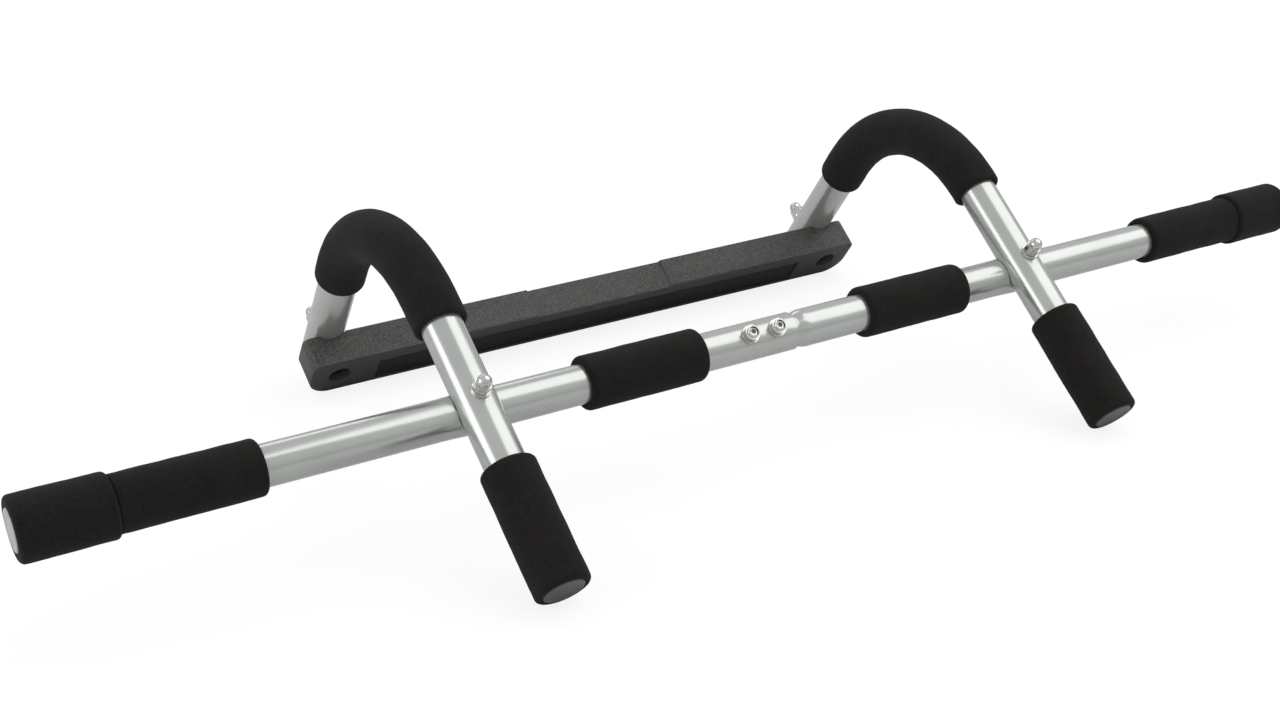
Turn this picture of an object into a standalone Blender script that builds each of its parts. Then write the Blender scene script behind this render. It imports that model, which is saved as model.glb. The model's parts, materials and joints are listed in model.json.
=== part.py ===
# Doorway pull-up bar: a two-part cross bar, two bent arms that hook over a door head, and a brace
# that joins the arms behind it.
#
# Everything is modelled in the frame of the arms: X runs along the cross bar, Y along the arms from
# the handles to the bends, Z square to both, with the cross bar's axis at Y = Z = 0. The whole frame
# is then leaned back about X until it stands on its handles and its brace, in metres, +Z up.

import math

import bmesh
import bpy
from mathutils import Matrix, Vector

# Fits and facets
GAP = 0.0003                   # between neighbouring pieces
ROUND_SIDES = 20               # sides of a tube or a sleeve
SMALL_SIDES = 12               # sides of a bolt or a washer
NUT_SIDES = 16                 # sides of a nut before its flats are cut
BEND_STEPS = 12                # facets along a bend
SHARP_ANGLE = math.radians(35)
CUT_MARGIN = 0.010             # how far a cutter runs past what it cuts
WELD_DISTANCE = 0.000002

# Tubes
TUBE_WALL = 0.0015
BAR_LENGTH = 0.944             # of the two tubes, joined
BAR_RADIUS = 0.0125
ARM_RADIUS = 0.0130
ARM_SPACING = 0.4205           # between the arms' middles
ARM_NEST = 0.0120              # how deep the arms sink into the dents in the cross bar
HANDLE_LENGTH = 0.1260         # from the cross bar's middle to the end of the handle
ARM_REACH = 0.0675             # from the cross bar's middle to the start of the bend
BEND_RADIUS = 0.1045
BEND_ANGLE = math.radians(90)
LEG_LENGTH = 0.1030            # straight stretch after the bend

# The cross bar's own joint: the right half necks down and slides into the left half
BAR_JOINT_X = 0.0210
SPIGOT_LENGTH = 0.0600
SHOULDER_LENGTH = 0.0040
NECK_SHOW = 0.0016             # neck left in sight between the two halves
JOINT_BOLT_SETBACK = 0.0185    # from the joint to the nearer bolt
JOINT_BOLT_PITCH = 0.0205
JOINT_BOLT_TURN = math.radians(9)   # of the joint's bolts about the bar, towards the front

# Foam sleeves
FOAM_EDGE = 0.0025             # rounding of the sleeves' ends
END_FOAM_WALL = 0.0062
END_FOAM_LENGTH = 0.0530
OUTER_GRIP_WALL = 0.0040
OUTER_GRIP_LENGTHS = {"left": 0.0816, "right": 0.0870}
INNER_GRIP_WALL = 0.0044
INNER_GRIP_LENGTH = 0.0840
INNER_GRIP_MIDDLES = {"left": -0.0940, "right": 0.1175}
HANDLE_GRIP_WALL = 0.0042
HANDLE_GRIP_LENGTH = 0.0828
BEND_FOAM_WALL = 0.0037
BEND_FOAM_LEADS = {"left": 0.0145, "right": 0.0050}    # straight stretch covered before the bend
BEND_FOAM_TAILS = {"left": 0.0130, "right": 0.0185}    # straight stretch covered after the bend

# End plugs
PLUG_HEAD = 0.0030
PLUG_STEM = 0.0150
PLUG_STEM_WALL = 0.0020
PLUG_TO_BOLT = 0.0020          # between a leg's plug and the bolt above it
PLUG_EDGE = 0.0008
FOAM_OVER_PLUG = 0.0025        # how far the end sleeves reach over a plug's head

# Hardware
BOLT_RADIUS = 0.0030
BOLT_HEAD_RADIUS = 0.0065
BOLT_HEAD_HEIGHT = 0.0033
BOLT_CROWN = ((1.0, 0.25), (0.8, 0.75), (0.45, 1.0))   # radius and height shares of a round head
HEX_HEAD_HEIGHT = 0.0040
HEX_FLATS = 0.0100             # across the flats of a nut or a hexagon head
HEX_CHAMFER = 0.0006
NUT_BASE_HEIGHT = 0.0052
NUT_DOME_RADIUS = 0.0046
NUT_HEIGHT = 0.0116
NUT_THREAD_DEPTH = 0.0085
BOLT_IN_NUT = 0.0075
LOCK_NUT_BASE = 0.0032
LOCK_NUT_COLLAR_RADIUS = 0.0043
LOCK_NUT_COLLAR_EDGE = 0.0010
LOCK_NUT_HEIGHT = 0.0048
LOCK_NUT_SINK = 0.0006         # the bolt's end stands this far below the top of a lock nut
WASHER_RADIUS = 0.0060
WASHER_THICKNESS = 0.0014

# Brace
BRACE_OVERHANG = 0.0212        # past the middle of each leg
BRACE_HEIGHT = 0.0385
BRACE_SADDLE = 0.0047          # how deep the legs sit in the brace's back
BRACE_DEPTH = 0.0238
BRACE_EDGE = 0.0020
BRACE_TOP_CHAMFER = 0.0060
BRACE_CORNER = 0.0170          # radius of the two lower corners
BRACE_CORNER_STEPS = 5
BRACE_WAIST = 0.1140           # length of the lower middle stretch of the top
BRACE_WAIST_DROP = 0.0020
BRACE_WAIST_SLOPE = 0.0012
BRACE_BOLT_BELOW_TOP = 0.0190
BRACE_ABOVE_LEG_END = -0.0065  # from the leg's lower end down to the brace's lower edge
COUNTERBORE_RADIUS = 0.0083
COUNTERBORE_DEPTH = 0.0105
POCKETS = 8
POCKET_RIB = 0.0030
POCKET_WALL = 0.0030
POCKET_END = 0.0240            # solid stretch inboard of each leg

# Pad strip let into the brace's front
PAD_INSET = 0.0293             # from each leg's middle to the end of the pad
PAD_HEIGHT = 0.0235
PAD_BELOW_TOP = 0.0120
PAD_THICKNESS = 0.0040
PAD_RECESS = 0.0050
PAD_EDGE = 0.0008

SIDES = {"left": -1.0, "right": 1.0}
ALONG_X = Matrix.Rotation(math.radians(90), 4, "Y")       # turns +Z onto +X
ALONG_Y = Matrix.Rotation(math.radians(-90), 4, "X")      # turns +Z onto +Y
UNTURNED = Matrix.Identity(4)

# Worked out
ARM_RISE = BAR_RADIUS + ARM_RADIUS - ARM_NEST          # the arms' middles stand this far above the bar's
BAR_SLEEVE_BORE = BAR_RADIUS + GAP
ARM_SLEEVE_BORE = ARM_RADIUS + GAP
HANDLE_GRIP_RADIUS = ARM_SLEEVE_BORE + HANDLE_GRIP_WALL
BEND_LENGTH = BEND_RADIUS * BEND_ANGLE
LEG_Y = ARM_REACH + BEND_RADIUS * math.sin(BEND_ANGLE)
BEND_END_Z = ARM_RISE - BEND_RADIUS * (1.0 - math.cos(BEND_ANGLE))
LEG_END_Z = BEND_END_Z - LEG_LENGTH
BRACE_BOTTOM_Z = LEG_END_Z + BRACE_ABOVE_LEG_END
BRACE_TOP_Z = BRACE_BOTTOM_Z + BRACE_HEIGHT
BRACE_BACK_Y = LEG_Y - ARM_RADIUS + BRACE_SADDLE
BRACE_FRONT_Y = BRACE_BACK_Y - BRACE_DEPTH
BRACE_BOLT_Z = BRACE_TOP_Z - BRACE_BOLT_BELOW_TOP
BRACE_HALF_LENGTH = ARM_SPACING / 2 + BRACE_OVERHANG
PAD_LENGTH = ARM_SPACING - 2 * PAD_INSET
BOLT_HOLE_RADIUS = BOLT_RADIUS + GAP
HEX_CORNER = HEX_FLATS / 2 / math.cos(math.radians(30))
HEX_BLANK = HEX_CORNER - HEX_CHAMFER / 4


def clear_scene():
    for thing in list(bpy.data.objects):
        bpy.data.objects.remove(thing, do_unlink=True)


def make_material(name, colour, roughness, metallic):
    material = bpy.data.materials.new(name)
    material.use_nodes = True
    shader = material.node_tree.nodes["Principled BSDF"]
    shader.inputs["Base Color"].default_value = (*colour, 1.0)
    shader.inputs["Roughness"].default_value = roughness
    shader.inputs["Metallic"].default_value = metallic
    return material


def place(name, mesh, material, at=(0, 0, 0), turn=UNTURNED):
    # Adds a piece to the leaning frame.
    thing = bpy.data.objects.new(name, mesh)
    if not mesh.materials:
        mesh.materials.append(material)
    thing.parent = frame
    thing.matrix_basis = Matrix.Translation(Vector(at)) @ turn
    bpy.context.collection.objects.link(thing)
    return thing


def place_cutter(name, mesh, at=(0, 0, 0), turn=UNTURNED):
    cutter = place(name, mesh, cutter_material, at, turn)
    cutter.hide_render = True
    cutter.display_type = "WIRE"
    return cutter


def cut(thing, cutter, operation="DIFFERENCE"):
    modifier = thing.modifiers.new(cutter.name, "BOOLEAN")
    modifier.operation = operation
    modifier.solver = "EXACT"
    modifier.object = cutter


def weld_cuts():
    # Closes up the hairline edges that cuts leave on the pieces they shape.
    for thing in bpy.data.objects:
        if thing.modifiers and not thing.hide_render:
            weld = thing.modifiers.new("weld", "WELD")
            weld.merge_threshold = WELD_DISTANCE


def finish_mesh(name, shape):
    # Closes seams, turns the faces outwards and shades the round faces smooth.
    bmesh.ops.remove_doubles(shape, verts=shape.verts, dist=1e-6)
    bmesh.ops.recalc_face_normals(shape, faces=shape.faces)
    mesh = bpy.data.meshes.new(name)
    shape.to_mesh(mesh)
    shape.free()
    mesh.shade_smooth()
    mesh.set_sharp_from_angle(angle=SHARP_ANGLE)
    return mesh


def half_facet(sides):
    # Turns a round piece so that a facet, not an edge, lies along its sides and its top.
    return Matrix.Rotation(math.pi / sides, 4, "Z")


def turned_mesh(name, profile, sides, closed):
    # Turns a profile of (radius, height) points about Z. An open profile starts and ends on Z.
    shape = bmesh.new()
    points = [shape.verts.new((radius, 0.0, height)) for radius, height in profile]
    edges = [shape.edges.new(pair) for pair in zip(points, points[1:])]
    if closed:
        edges.append(shape.edges.new((points[-1], points[0])))
    bmesh.ops.spin(shape, geom=points + edges, cent=(0, 0, 0), axis=(0, 0, 1),
                   angle=math.tau, steps=sides, use_merge=True, use_duplicate=False)
    bmesh.ops.rotate(shape, verts=shape.verts, cent=(0, 0, 0), matrix=half_facet(sides))
    return finish_mesh(name, shape)


def arc_points(centre, radius, start, stop, steps):
    angles = [start + (stop - start) * step / steps for step in range(steps + 1)]
    return [(centre[0] + radius * math.cos(angle), centre[1] + radius * math.sin(angle))
            for angle in angles]


def cylinder_mesh(name, radius, low, high, sides=ROUND_SIDES):
    return turned_mesh(name, [(0.0, low), (radius, low), (radius, high), (0.0, high)], sides, False)


def sleeve_mesh(name, bore, wall, length):
    # A sleeve along +Z from Z = 0, with rounded outer ends.
    quarter = math.radians(90)
    shelf = bore + wall - FOAM_EDGE
    profile = [(bore, 0.0)]
    profile += arc_points((shelf, FOAM_EDGE), FOAM_EDGE, -quarter, 0.0, 2)
    profile += arc_points((shelf, length - FOAM_EDGE), FOAM_EDGE, 0.0, quarter, 2)
    profile += [(bore, length)]
    return turned_mesh(name, profile, ROUND_SIDES, True)


def arm_sweep_mesh(name, bore, radius, start, stop, edge=0.0):
    # A tube or sleeve along an arm, between two distances along it from the cross bar's middle.
    shape = bmesh.new()
    facing = Matrix.Translation((0.0, start, ARM_RISE)) @ Matrix.Rotation(math.radians(90), 4, "X")
    facing = facing @ half_facet(ROUND_SIDES)
    for rim_radius in (bore, radius):
        bmesh.ops.create_circle(shape, cap_ends=False, radius=rim_radius, segments=ROUND_SIDES,
                                matrix=facing)
    bmesh.ops.bridge_loops(shape, edges=shape.edges[:])
    cap = shape.verts[:] + shape.edges[:] + shape.faces[:]

    def push(cap, keep, offset):
        grown = bmesh.ops.extrude_face_region(shape, geom=cap, use_keep_orig=keep)["geom"]
        points = [item for item in grown if isinstance(item, bmesh.types.BMVert)]
        bmesh.ops.translate(shape, verts=points, vec=offset)
        return grown

    cap = push(cap, True, (0.0, ARM_REACH - start, 0.0))
    bend_middle = (0.0, ARM_REACH, ARM_RISE - BEND_RADIUS)
    turned = bmesh.ops.spin(shape, geom=cap, cent=bend_middle, axis=(1, 0, 0), angle=-BEND_ANGLE,
                            steps=BEND_STEPS, use_merge=False, use_duplicate=False)
    onward = Vector((0.0, math.cos(BEND_ANGLE), -math.sin(BEND_ANGLE)))
    push(turned["geom_last"], False, onward * (stop - ARM_REACH - BEND_LENGTH))
    if edge:
        bmesh.ops.remove_doubles(shape, verts=shape.verts, dist=1e-6)
        ends = (Vector((0.0, start, ARM_RISE)), past_bend(stop))
        rims = [rim_edge for rim_edge in shape.edges
                if any(on_rim(rim_edge, end, radius) for end in ends)]
        bmesh.ops.bevel(shape, geom=rims, offset=edge, segments=2, profile=0.5, affect="EDGES")
    return finish_mesh(name, shape)


def past_bend(distance):
    # The arm's middle at a distance along it that lies past the bend.
    onward = Vector((0.0, math.cos(BEND_ANGLE), -math.sin(BEND_ANGLE)))
    return Vector((0.0, LEG_Y, BEND_END_Z)) + onward * (distance - ARM_REACH - BEND_LENGTH)


def on_rim(rim_edge, middle, radius):
    return all(abs((point.co - middle).length - radius) < GAP / 10 for point in rim_edge.verts)


def prism(outline, low, high):
    # An outline of (x, z) points drawn out along Y.
    shape = bmesh.new()
    face = shape.faces.new([shape.verts.new((x, low, z)) for x, z in outline])
    grown = bmesh.ops.extrude_face_region(shape, geom=[face], use_keep_orig=True)["geom"]
    points = [item for item in grown if isinstance(item, bmesh.types.BMVert)]
    bmesh.ops.translate(shape, verts=points, vec=(0.0, high - low, 0.0))
    return shape


def box_mesh(name, low, high, edge=0.0):
    shape = bmesh.new()
    size = Vector(high) - Vector(low)
    middle = (Vector(high) + Vector(low)) / 2
    spread = Matrix.Translation(middle) @ Matrix.Diagonal((*size, 1.0))
    bmesh.ops.create_cube(shape, size=1.0, matrix=spread)
    if edge:
        bmesh.ops.bevel(shape, geom=shape.edges[:], offset=edge, segments=1, profile=0.5,
                        affect="EDGES")
    return finish_mesh(name, shape)


def hex_mesh(name, profile, closed=False):
    # A turned piece cut to a hexagon, so that its corners are chamfered as a real nut's are.
    turned = place("hex_blank", turned_mesh(name, profile, NUT_SIDES, closed), steel)
    reach = max(abs(height) for radius, height in profile) + CUT_MARGIN
    column = bmesh.new()
    bmesh.ops.create_cone(column, cap_ends=True, segments=6, radius1=HEX_CORNER, radius2=HEX_CORNER,
                          depth=2 * reach)
    hexagon = place("hex_column", finish_mesh("hex_column", column), steel)
    cut(turned, hexagon, "INTERSECT")
    depsgraph = bpy.context.evaluated_depsgraph_get()
    mesh = bpy.data.meshes.new_from_object(turned.evaluated_get(depsgraph))
    mesh.name = name
    mesh.set_sharp_from_angle(angle=SHARP_ANGLE)
    bpy.data.objects.remove(turned, do_unlink=True)
    bpy.data.objects.remove(hexagon, do_unlink=True)
    return mesh


# Seats: what the tubes take out of whatever is pressed against them
def make_seats():
    bar_half = BAR_LENGTH / 2 + CUT_MARGIN
    bar_seat = cylinder_mesh("cut_bar_seat", BAR_RADIUS + GAP, -bar_half, bar_half)
    seats = {"bar": place_cutter("cut_bar_seat", bar_seat, turn=ALONG_X)}
    reach = BAR_RADIUS + WASHER_RADIUS + CUT_MARGIN
    arm_seat = cylinder_mesh("cut_arm_seat", ARM_RADIUS + GAP, -reach, reach)
    arm_wall = cylinder_mesh("cut_arm_wall", ARM_RADIUS + GAP + TUBE_WALL, -reach, reach)
    leg_seat = cylinder_mesh("cut_leg_seat", ARM_RADIUS + GAP, BRACE_BOTTOM_Z - CUT_MARGIN,
                             BRACE_TOP_Z + CUT_MARGIN)
    for side, sign in SIDES.items():
        x = sign * ARM_SPACING / 2
        seats["arm_" + side] = place_cutter("cut_arm_seat_" + side, arm_seat, (x, 0, ARM_RISE), ALONG_Y)
        seats["wall_" + side] = place_cutter("cut_arm_wall_" + side, arm_wall, (x, 0, ARM_RISE), ALONG_Y)
        seats["leg_" + side] = place_cutter("cut_leg_seat_" + side, leg_seat, (x, LEG_Y, 0))
    return seats


def bolt_hole(name, at, low, high, turn=UNTURNED, radius=BOLT_HOLE_RADIUS):
    return place_cutter(name, cylinder_mesh(name, radius, low, high, SMALL_SIDES), at, turn)


# Cross bar
def ring_mesh(name, bore, radius, low, high):
    return turned_mesh(name, [(bore, low), (radius, low), (radius, high), (bore, high)], ROUND_SIDES, True)


def right_tube_mesh():
    # Spigot, neck, rounded shoulder and tube, as one wall.
    bore = BAR_RADIUS - TUBE_WALL
    spigot = bore - GAP
    neck_bore = spigot - TUBE_WALL
    spigot_end = BAR_JOINT_X - SPIGOT_LENGTH
    shoulder = BAR_JOINT_X + SHOULDER_LENGTH
    end = BAR_LENGTH / 2
    step = BAR_RADIUS - spigot
    swell = 0.3                    # share of the shoulder in its first, steeper facet
    outside = [(spigot, spigot_end), (spigot, BAR_JOINT_X)]
    outside += [(BAR_RADIUS - step * swell, BAR_JOINT_X + SHOULDER_LENGTH * swell)]
    outside += [(BAR_RADIUS, shoulder), (BAR_RADIUS, end)]
    inside = [(bore, end), (bore, shoulder + TUBE_WALL), (neck_bore, BAR_JOINT_X + TUBE_WALL)]
    inside += [(neck_bore, spigot_end)]
    return turned_mesh("bar_tube_right", outside + inside, ROUND_SIDES, True)


def make_cross_bar(seats):
    left_mesh = ring_mesh("bar_tube_left", BAR_RADIUS - TUBE_WALL, BAR_RADIUS, -BAR_LENGTH / 2,
                          BAR_JOINT_X - NECK_SHOW)
    left = place("bar_tube_left", left_mesh, silver, turn=ALONG_X)
    right = place("bar_tube_right", right_tube_mesh(), silver, turn=ALONG_X)
    core_reach = ARM_RADIUS + TUBE_WALL + CUT_MARGIN
    core_mesh = cylinder_mesh("cut_dent", BAR_RADIUS - TUBE_WALL / 2, -core_reach, core_reach)
    for side, tube in (("left", left), ("right", right)):
        # The wall pushed in under the arm: a plug of metal in the bore, then the arm's own hollow in it.
        x = SIDES[side] * ARM_SPACING / 2
        dent = place_cutter("cut_dent_" + side, core_mesh, (x, 0, 0), ALONG_X)
        cut(dent, seats["wall_" + side], "INTERSECT")
        cut(tube, dent, "UNION")
        cut(tube, seats["arm_" + side])
        cut(tube, bolt_holes["arm_" + side])
    for number in (1, 2):
        cut(left, bolt_holes["joint_" + str(number)])
        cut(right, bolt_holes["joint_" + str(number)])


# Arms
def make_arms():
    bend_stop = ARM_REACH + BEND_LENGTH
    tube_mesh = arm_sweep_mesh("arm_tube", ARM_RADIUS - TUBE_WALL, ARM_RADIUS, -HANDLE_LENGTH,
                               bend_stop + LEG_LENGTH)
    for side, sign in SIDES.items():
        x = sign * ARM_SPACING / 2
        tube = place("arm_tube_" + side, tube_mesh, silver, (x, 0, 0))
        cut(tube, bolt_holes["arm_" + side])
        cut(tube, bolt_holes["brace_" + side])
        foam_mesh = arm_sweep_mesh("bend_foam_" + side, ARM_SLEEVE_BORE, ARM_SLEEVE_BORE + BEND_FOAM_WALL,
                                   ARM_REACH - BEND_FOAM_LEADS[side], bend_stop + BEND_FOAM_TAILS[side],
                                   FOAM_EDGE)
        place("bend_foam_" + side, foam_mesh, foam, (x, 0, 0))


# Foam sleeves on the straight stretches
def make_sleeves():
    end_mesh = sleeve_mesh("end_foam", BAR_SLEEVE_BORE, END_FOAM_WALL, END_FOAM_LENGTH)
    inner_mesh = sleeve_mesh("inner_grip", BAR_SLEEVE_BORE, INNER_GRIP_WALL, INNER_GRIP_LENGTH)
    handle_mesh = sleeve_mesh("handle_grip", ARM_SLEEVE_BORE, HANDLE_GRIP_WALL, HANDLE_GRIP_LENGTH)
    foam_start = BAR_LENGTH / 2 + FOAM_OVER_PLUG - END_FOAM_LENGTH
    for side, sign in SIDES.items():
        outward = ALONG_X if sign > 0 else Matrix.Rotation(math.radians(-90), 4, "Y")
        place("end_foam_" + side, end_mesh, foam, (sign * foam_start, 0, 0), outward)
        length = OUTER_GRIP_LENGTHS[side]
        outer_mesh = sleeve_mesh("outer_grip_" + side, BAR_SLEEVE_BORE, OUTER_GRIP_WALL, length)
        outer_start = foam_start - GAP - length
        place("outer_grip_" + side, outer_mesh, foam, (sign * outer_start, 0, 0), outward)
        inner_start = INNER_GRIP_MIDDLES[side] - INNER_GRIP_LENGTH / 2
        place("inner_grip_" + side, inner_mesh, foam, (inner_start, 0, 0), ALONG_X)
        handle_at = (sign * ARM_SPACING / 2, -HANDLE_LENGTH - FOAM_OVER_PLUG, ARM_RISE)
        place("handle_grip_" + side, handle_mesh, foam, handle_at, ALONG_Y)


# Plugs that close the tubes' ends
def plug_mesh(name, tube_radius, reach):
    # The head covers the tube's end at Z = 0, and the hollow stem reaches down inside the tube.
    stem = tube_radius - TUBE_WALL - GAP
    hollow = stem - PLUG_STEM_WALL
    profile = [(0.0, GAP), (hollow, GAP), (hollow, -reach), (stem, -reach), (stem, GAP)]
    profile += [(tube_radius, GAP), (tube_radius, PLUG_HEAD - PLUG_EDGE)]
    profile += [(tube_radius - PLUG_EDGE, PLUG_HEAD), (0.0, PLUG_HEAD)]
    return turned_mesh(name, profile, ROUND_SIDES, False)


def make_plugs():
    bar_plug = plug_mesh("bar_plug", BAR_RADIUS, PLUG_STEM)
    handle_plug = plug_mesh("handle_plug", ARM_RADIUS, PLUG_STEM)
    leg_reach = BRACE_BOLT_Z - BOLT_HOLE_RADIUS - PLUG_TO_BOLT - LEG_END_Z
    leg_plug = plug_mesh("leg_plug", ARM_RADIUS, leg_reach)
    for side, sign in SIDES.items():
        x = sign * ARM_SPACING / 2
        outward = ALONG_X if sign > 0 else Matrix.Rotation(math.radians(-90), 4, "Y")
        place("bar_plug_" + side, bar_plug, plug, (sign * BAR_LENGTH / 2, 0, 0), outward)
        frontward = Matrix.Rotation(math.radians(90), 4, "X")
        place("handle_plug_" + side, handle_plug, plug, (x, -HANDLE_LENGTH, ARM_RISE), frontward)
        downward = Matrix.Rotation(math.radians(180), 4, "X")
        place("leg_plug_" + side, leg_plug, plug, (x, LEG_Y, LEG_END_Z), downward)


# Brace
def brace_outline():
    half = BRACE_HALF_LENGTH
    top = BRACE_TOP_Z
    quarter = math.radians(90)
    corner_z = BRACE_BOTTOM_Z + BRACE_CORNER
    right = arc_points((half - BRACE_CORNER, corner_z), BRACE_CORNER, -quarter, 0.0, BRACE_CORNER_STEPS)
    right += [(half, top - BRACE_TOP_CHAMFER), (half - BRACE_TOP_CHAMFER, top)]
    right += [(BRACE_WAIST / 2 + BRACE_WAIST_SLOPE / 2, top)]
    right += [(BRACE_WAIST / 2 - BRACE_WAIST_SLOPE / 2, top - BRACE_WAIST_DROP)]
    return right + [(-x, z) for x, z in reversed(right)]


def make_brace(seats):
    shape = prism(brace_outline(), BRACE_FRONT_Y, BRACE_BACK_Y)
    rims = [rim_edge for rim_edge in shape.edges
            if abs(rim_edge.verts[0].co.y - rim_edge.verts[1].co.y) < GAP / 10]
    bmesh.ops.bevel(shape, geom=rims, offset=BRACE_EDGE, segments=2, profile=0.5, affect="EDGES",
                    clamp_overlap=True)
    body = place("brace_body", finish_mesh("brace_body", shape), plastic)

    pad_top = BRACE_TOP_Z - PAD_BELOW_TOP
    recess_low = (-PAD_LENGTH / 2 - GAP, BRACE_FRONT_Y - CUT_MARGIN, pad_top - PAD_HEIGHT - GAP)
    recess_high = (PAD_LENGTH / 2 + GAP, BRACE_FRONT_Y + PAD_RECESS, pad_top + GAP)
    cut(body, place_cutter("cut_pad_recess", box_mesh("cut_pad_recess", recess_low, recess_high)))
    pad_low = (-PAD_LENGTH / 2, BRACE_FRONT_Y + PAD_RECESS - GAP - PAD_THICKNESS, pad_top - PAD_HEIGHT)
    pad_high = (PAD_LENGTH / 2, BRACE_FRONT_Y + PAD_RECESS - GAP, pad_top)
    place("brace_pad", box_mesh("brace_pad", pad_low, pad_high, PAD_EDGE), rubber)

    # Moulding pockets in the back, with ribs between them
    run = ARM_SPACING - 2 * POCKET_END
    pitch = (run + POCKET_RIB) / POCKETS
    pocket_top = BRACE_TOP_Z - BRACE_WAIST_DROP - POCKET_WALL
    for number in range(POCKETS):
        start = -run / 2 + number * pitch
        low = (start, BRACE_FRONT_Y + PAD_RECESS + POCKET_WALL, BRACE_BOTTOM_Z + POCKET_WALL)
        high = (start + pitch - POCKET_RIB, BRACE_BACK_Y + CUT_MARGIN, pocket_top)
        name = "cut_pocket_" + str(number + 1)
        cut(body, place_cutter(name, box_mesh(name, low, high)))

    for side, sign in SIDES.items():
        cut(body, seats["leg_" + side])
        cut(body, bolt_holes["brace_" + side])
        hole_at = (sign * ARM_SPACING / 2, BRACE_FRONT_Y, BRACE_BOLT_Z)
        cut(body, bolt_hole("cut_counterbore_" + side, hole_at, -CUT_MARGIN, COUNTERBORE_DEPTH, ALONG_Y,
                            COUNTERBORE_RADIUS))


# Hardware
def nut_mesh():
    corner = HEX_BLANK
    dome_start = NUT_HEIGHT - NUT_DOME_RADIUS
    profile = [(0.0, NUT_THREAD_DEPTH), (BOLT_HOLE_RADIUS, NUT_THREAD_DEPTH), (BOLT_HOLE_RADIUS, 0.0)]
    profile += [(corner - HEX_CHAMFER, 0.0), (corner, HEX_CHAMFER), (corner, NUT_BASE_HEIGHT - HEX_CHAMFER)]
    profile += [(corner - HEX_CHAMFER, NUT_BASE_HEIGHT), (NUT_DOME_RADIUS, NUT_BASE_HEIGHT)]
    dome = arc_points((0.0, dome_start), NUT_DOME_RADIUS, 0.0, math.radians(90), 3)
    profile += dome[:-1] + [(0.0, NUT_HEIGHT)]
    return hex_mesh("cap_nut", profile)


def lock_nut_mesh():
    # A hexagon with a rounded collar, drilled through.
    corner = HEX_BLANK
    shelf = LOCK_NUT_COLLAR_RADIUS - LOCK_NUT_COLLAR_EDGE
    profile = [(BOLT_HOLE_RADIUS, 0.0), (corner - HEX_CHAMFER, 0.0), (corner, HEX_CHAMFER)]
    profile += [(corner, LOCK_NUT_BASE - HEX_CHAMFER), (corner - HEX_CHAMFER, LOCK_NUT_BASE)]
    profile += [(LOCK_NUT_COLLAR_RADIUS, LOCK_NUT_BASE)]
    profile += arc_points((shelf, LOCK_NUT_HEIGHT - LOCK_NUT_COLLAR_EDGE), LOCK_NUT_COLLAR_EDGE, 0.0,
                          math.radians(90), 2)
    profile += [(BOLT_HOLE_RADIUS, LOCK_NUT_HEIGHT)]
    return hex_mesh("lock_nut", profile, True)


def bolt_profile(length, head_radius, head):
    # Shank from Z = 0 up to its length, head below.
    return [(0.0, -head[-1][1])] + [(radius, -drop) for radius, drop in reversed(head)] + [
        (head_radius, 0.0), (BOLT_RADIUS, 0.0), (BOLT_RADIUS, length - HEX_CHAMFER),
        (BOLT_RADIUS - HEX_CHAMFER, length), (0.0, length)]


def round_bolt_mesh(name, length):
    crown = [(BOLT_HEAD_RADIUS * radius, BOLT_HEAD_HEIGHT * height) for radius, height in BOLT_CROWN]
    return turned_mesh(name, bolt_profile(length, BOLT_HEAD_RADIUS, crown), SMALL_SIDES, False)


def hex_bolt_mesh(name, length):
    crown = [(HEX_BLANK, HEX_HEAD_HEIGHT - HEX_CHAMFER), (HEX_BLANK - HEX_CHAMFER, HEX_HEAD_HEIGHT)]
    return hex_mesh(name, bolt_profile(length, HEX_BLANK, crown))


def washer_mesh(name, below):
    # Flat on top at its thickness; its underside reaches down so that a tube can shape it.
    profile = [(BOLT_HOLE_RADIUS, -below), (WASHER_RADIUS, -below), (WASHER_RADIUS, WASHER_THICKNESS),
               (BOLT_HOLE_RADIUS, WASHER_THICKNESS)]
    return turned_mesh(name, profile, SMALL_SIDES, True)


def saddle_depth(tube_radius):
    # How far a tube falls away under a washer's rim, less a hair.
    return tube_radius - math.sqrt(tube_radius ** 2 - WASHER_RADIUS ** 2) - 2 * GAP


def make_bolt_holes():
    holes = {}
    through = BAR_RADIUS + 2 * ARM_RADIUS + CUT_MARGIN
    for side, sign in SIDES.items():
        x = sign * ARM_SPACING / 2
        holes["arm_" + side] = bolt_hole("cut_arm_bolt_" + side, (x, 0, 0), -through, through)
        holes["brace_" + side] = bolt_hole("cut_brace_bolt_" + side, (x, LEG_Y, BRACE_BOLT_Z),
                                           -through, through, ALONG_Y)
    for number in (1, 2):
        x = joint_bolt_x(number)
        name = "cut_joint_bolt_" + str(number)
        tilt = Matrix.Rotation(JOINT_BOLT_TURN, 4, "X")
        holes["joint_" + str(number)] = bolt_hole(name, (x, 0, 0), -through, through, tilt)
    return holes


def joint_bolt_x(number):
    return BAR_JOINT_X - JOINT_BOLT_SETBACK - JOINT_BOLT_PITCH * (2 - number)


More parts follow.
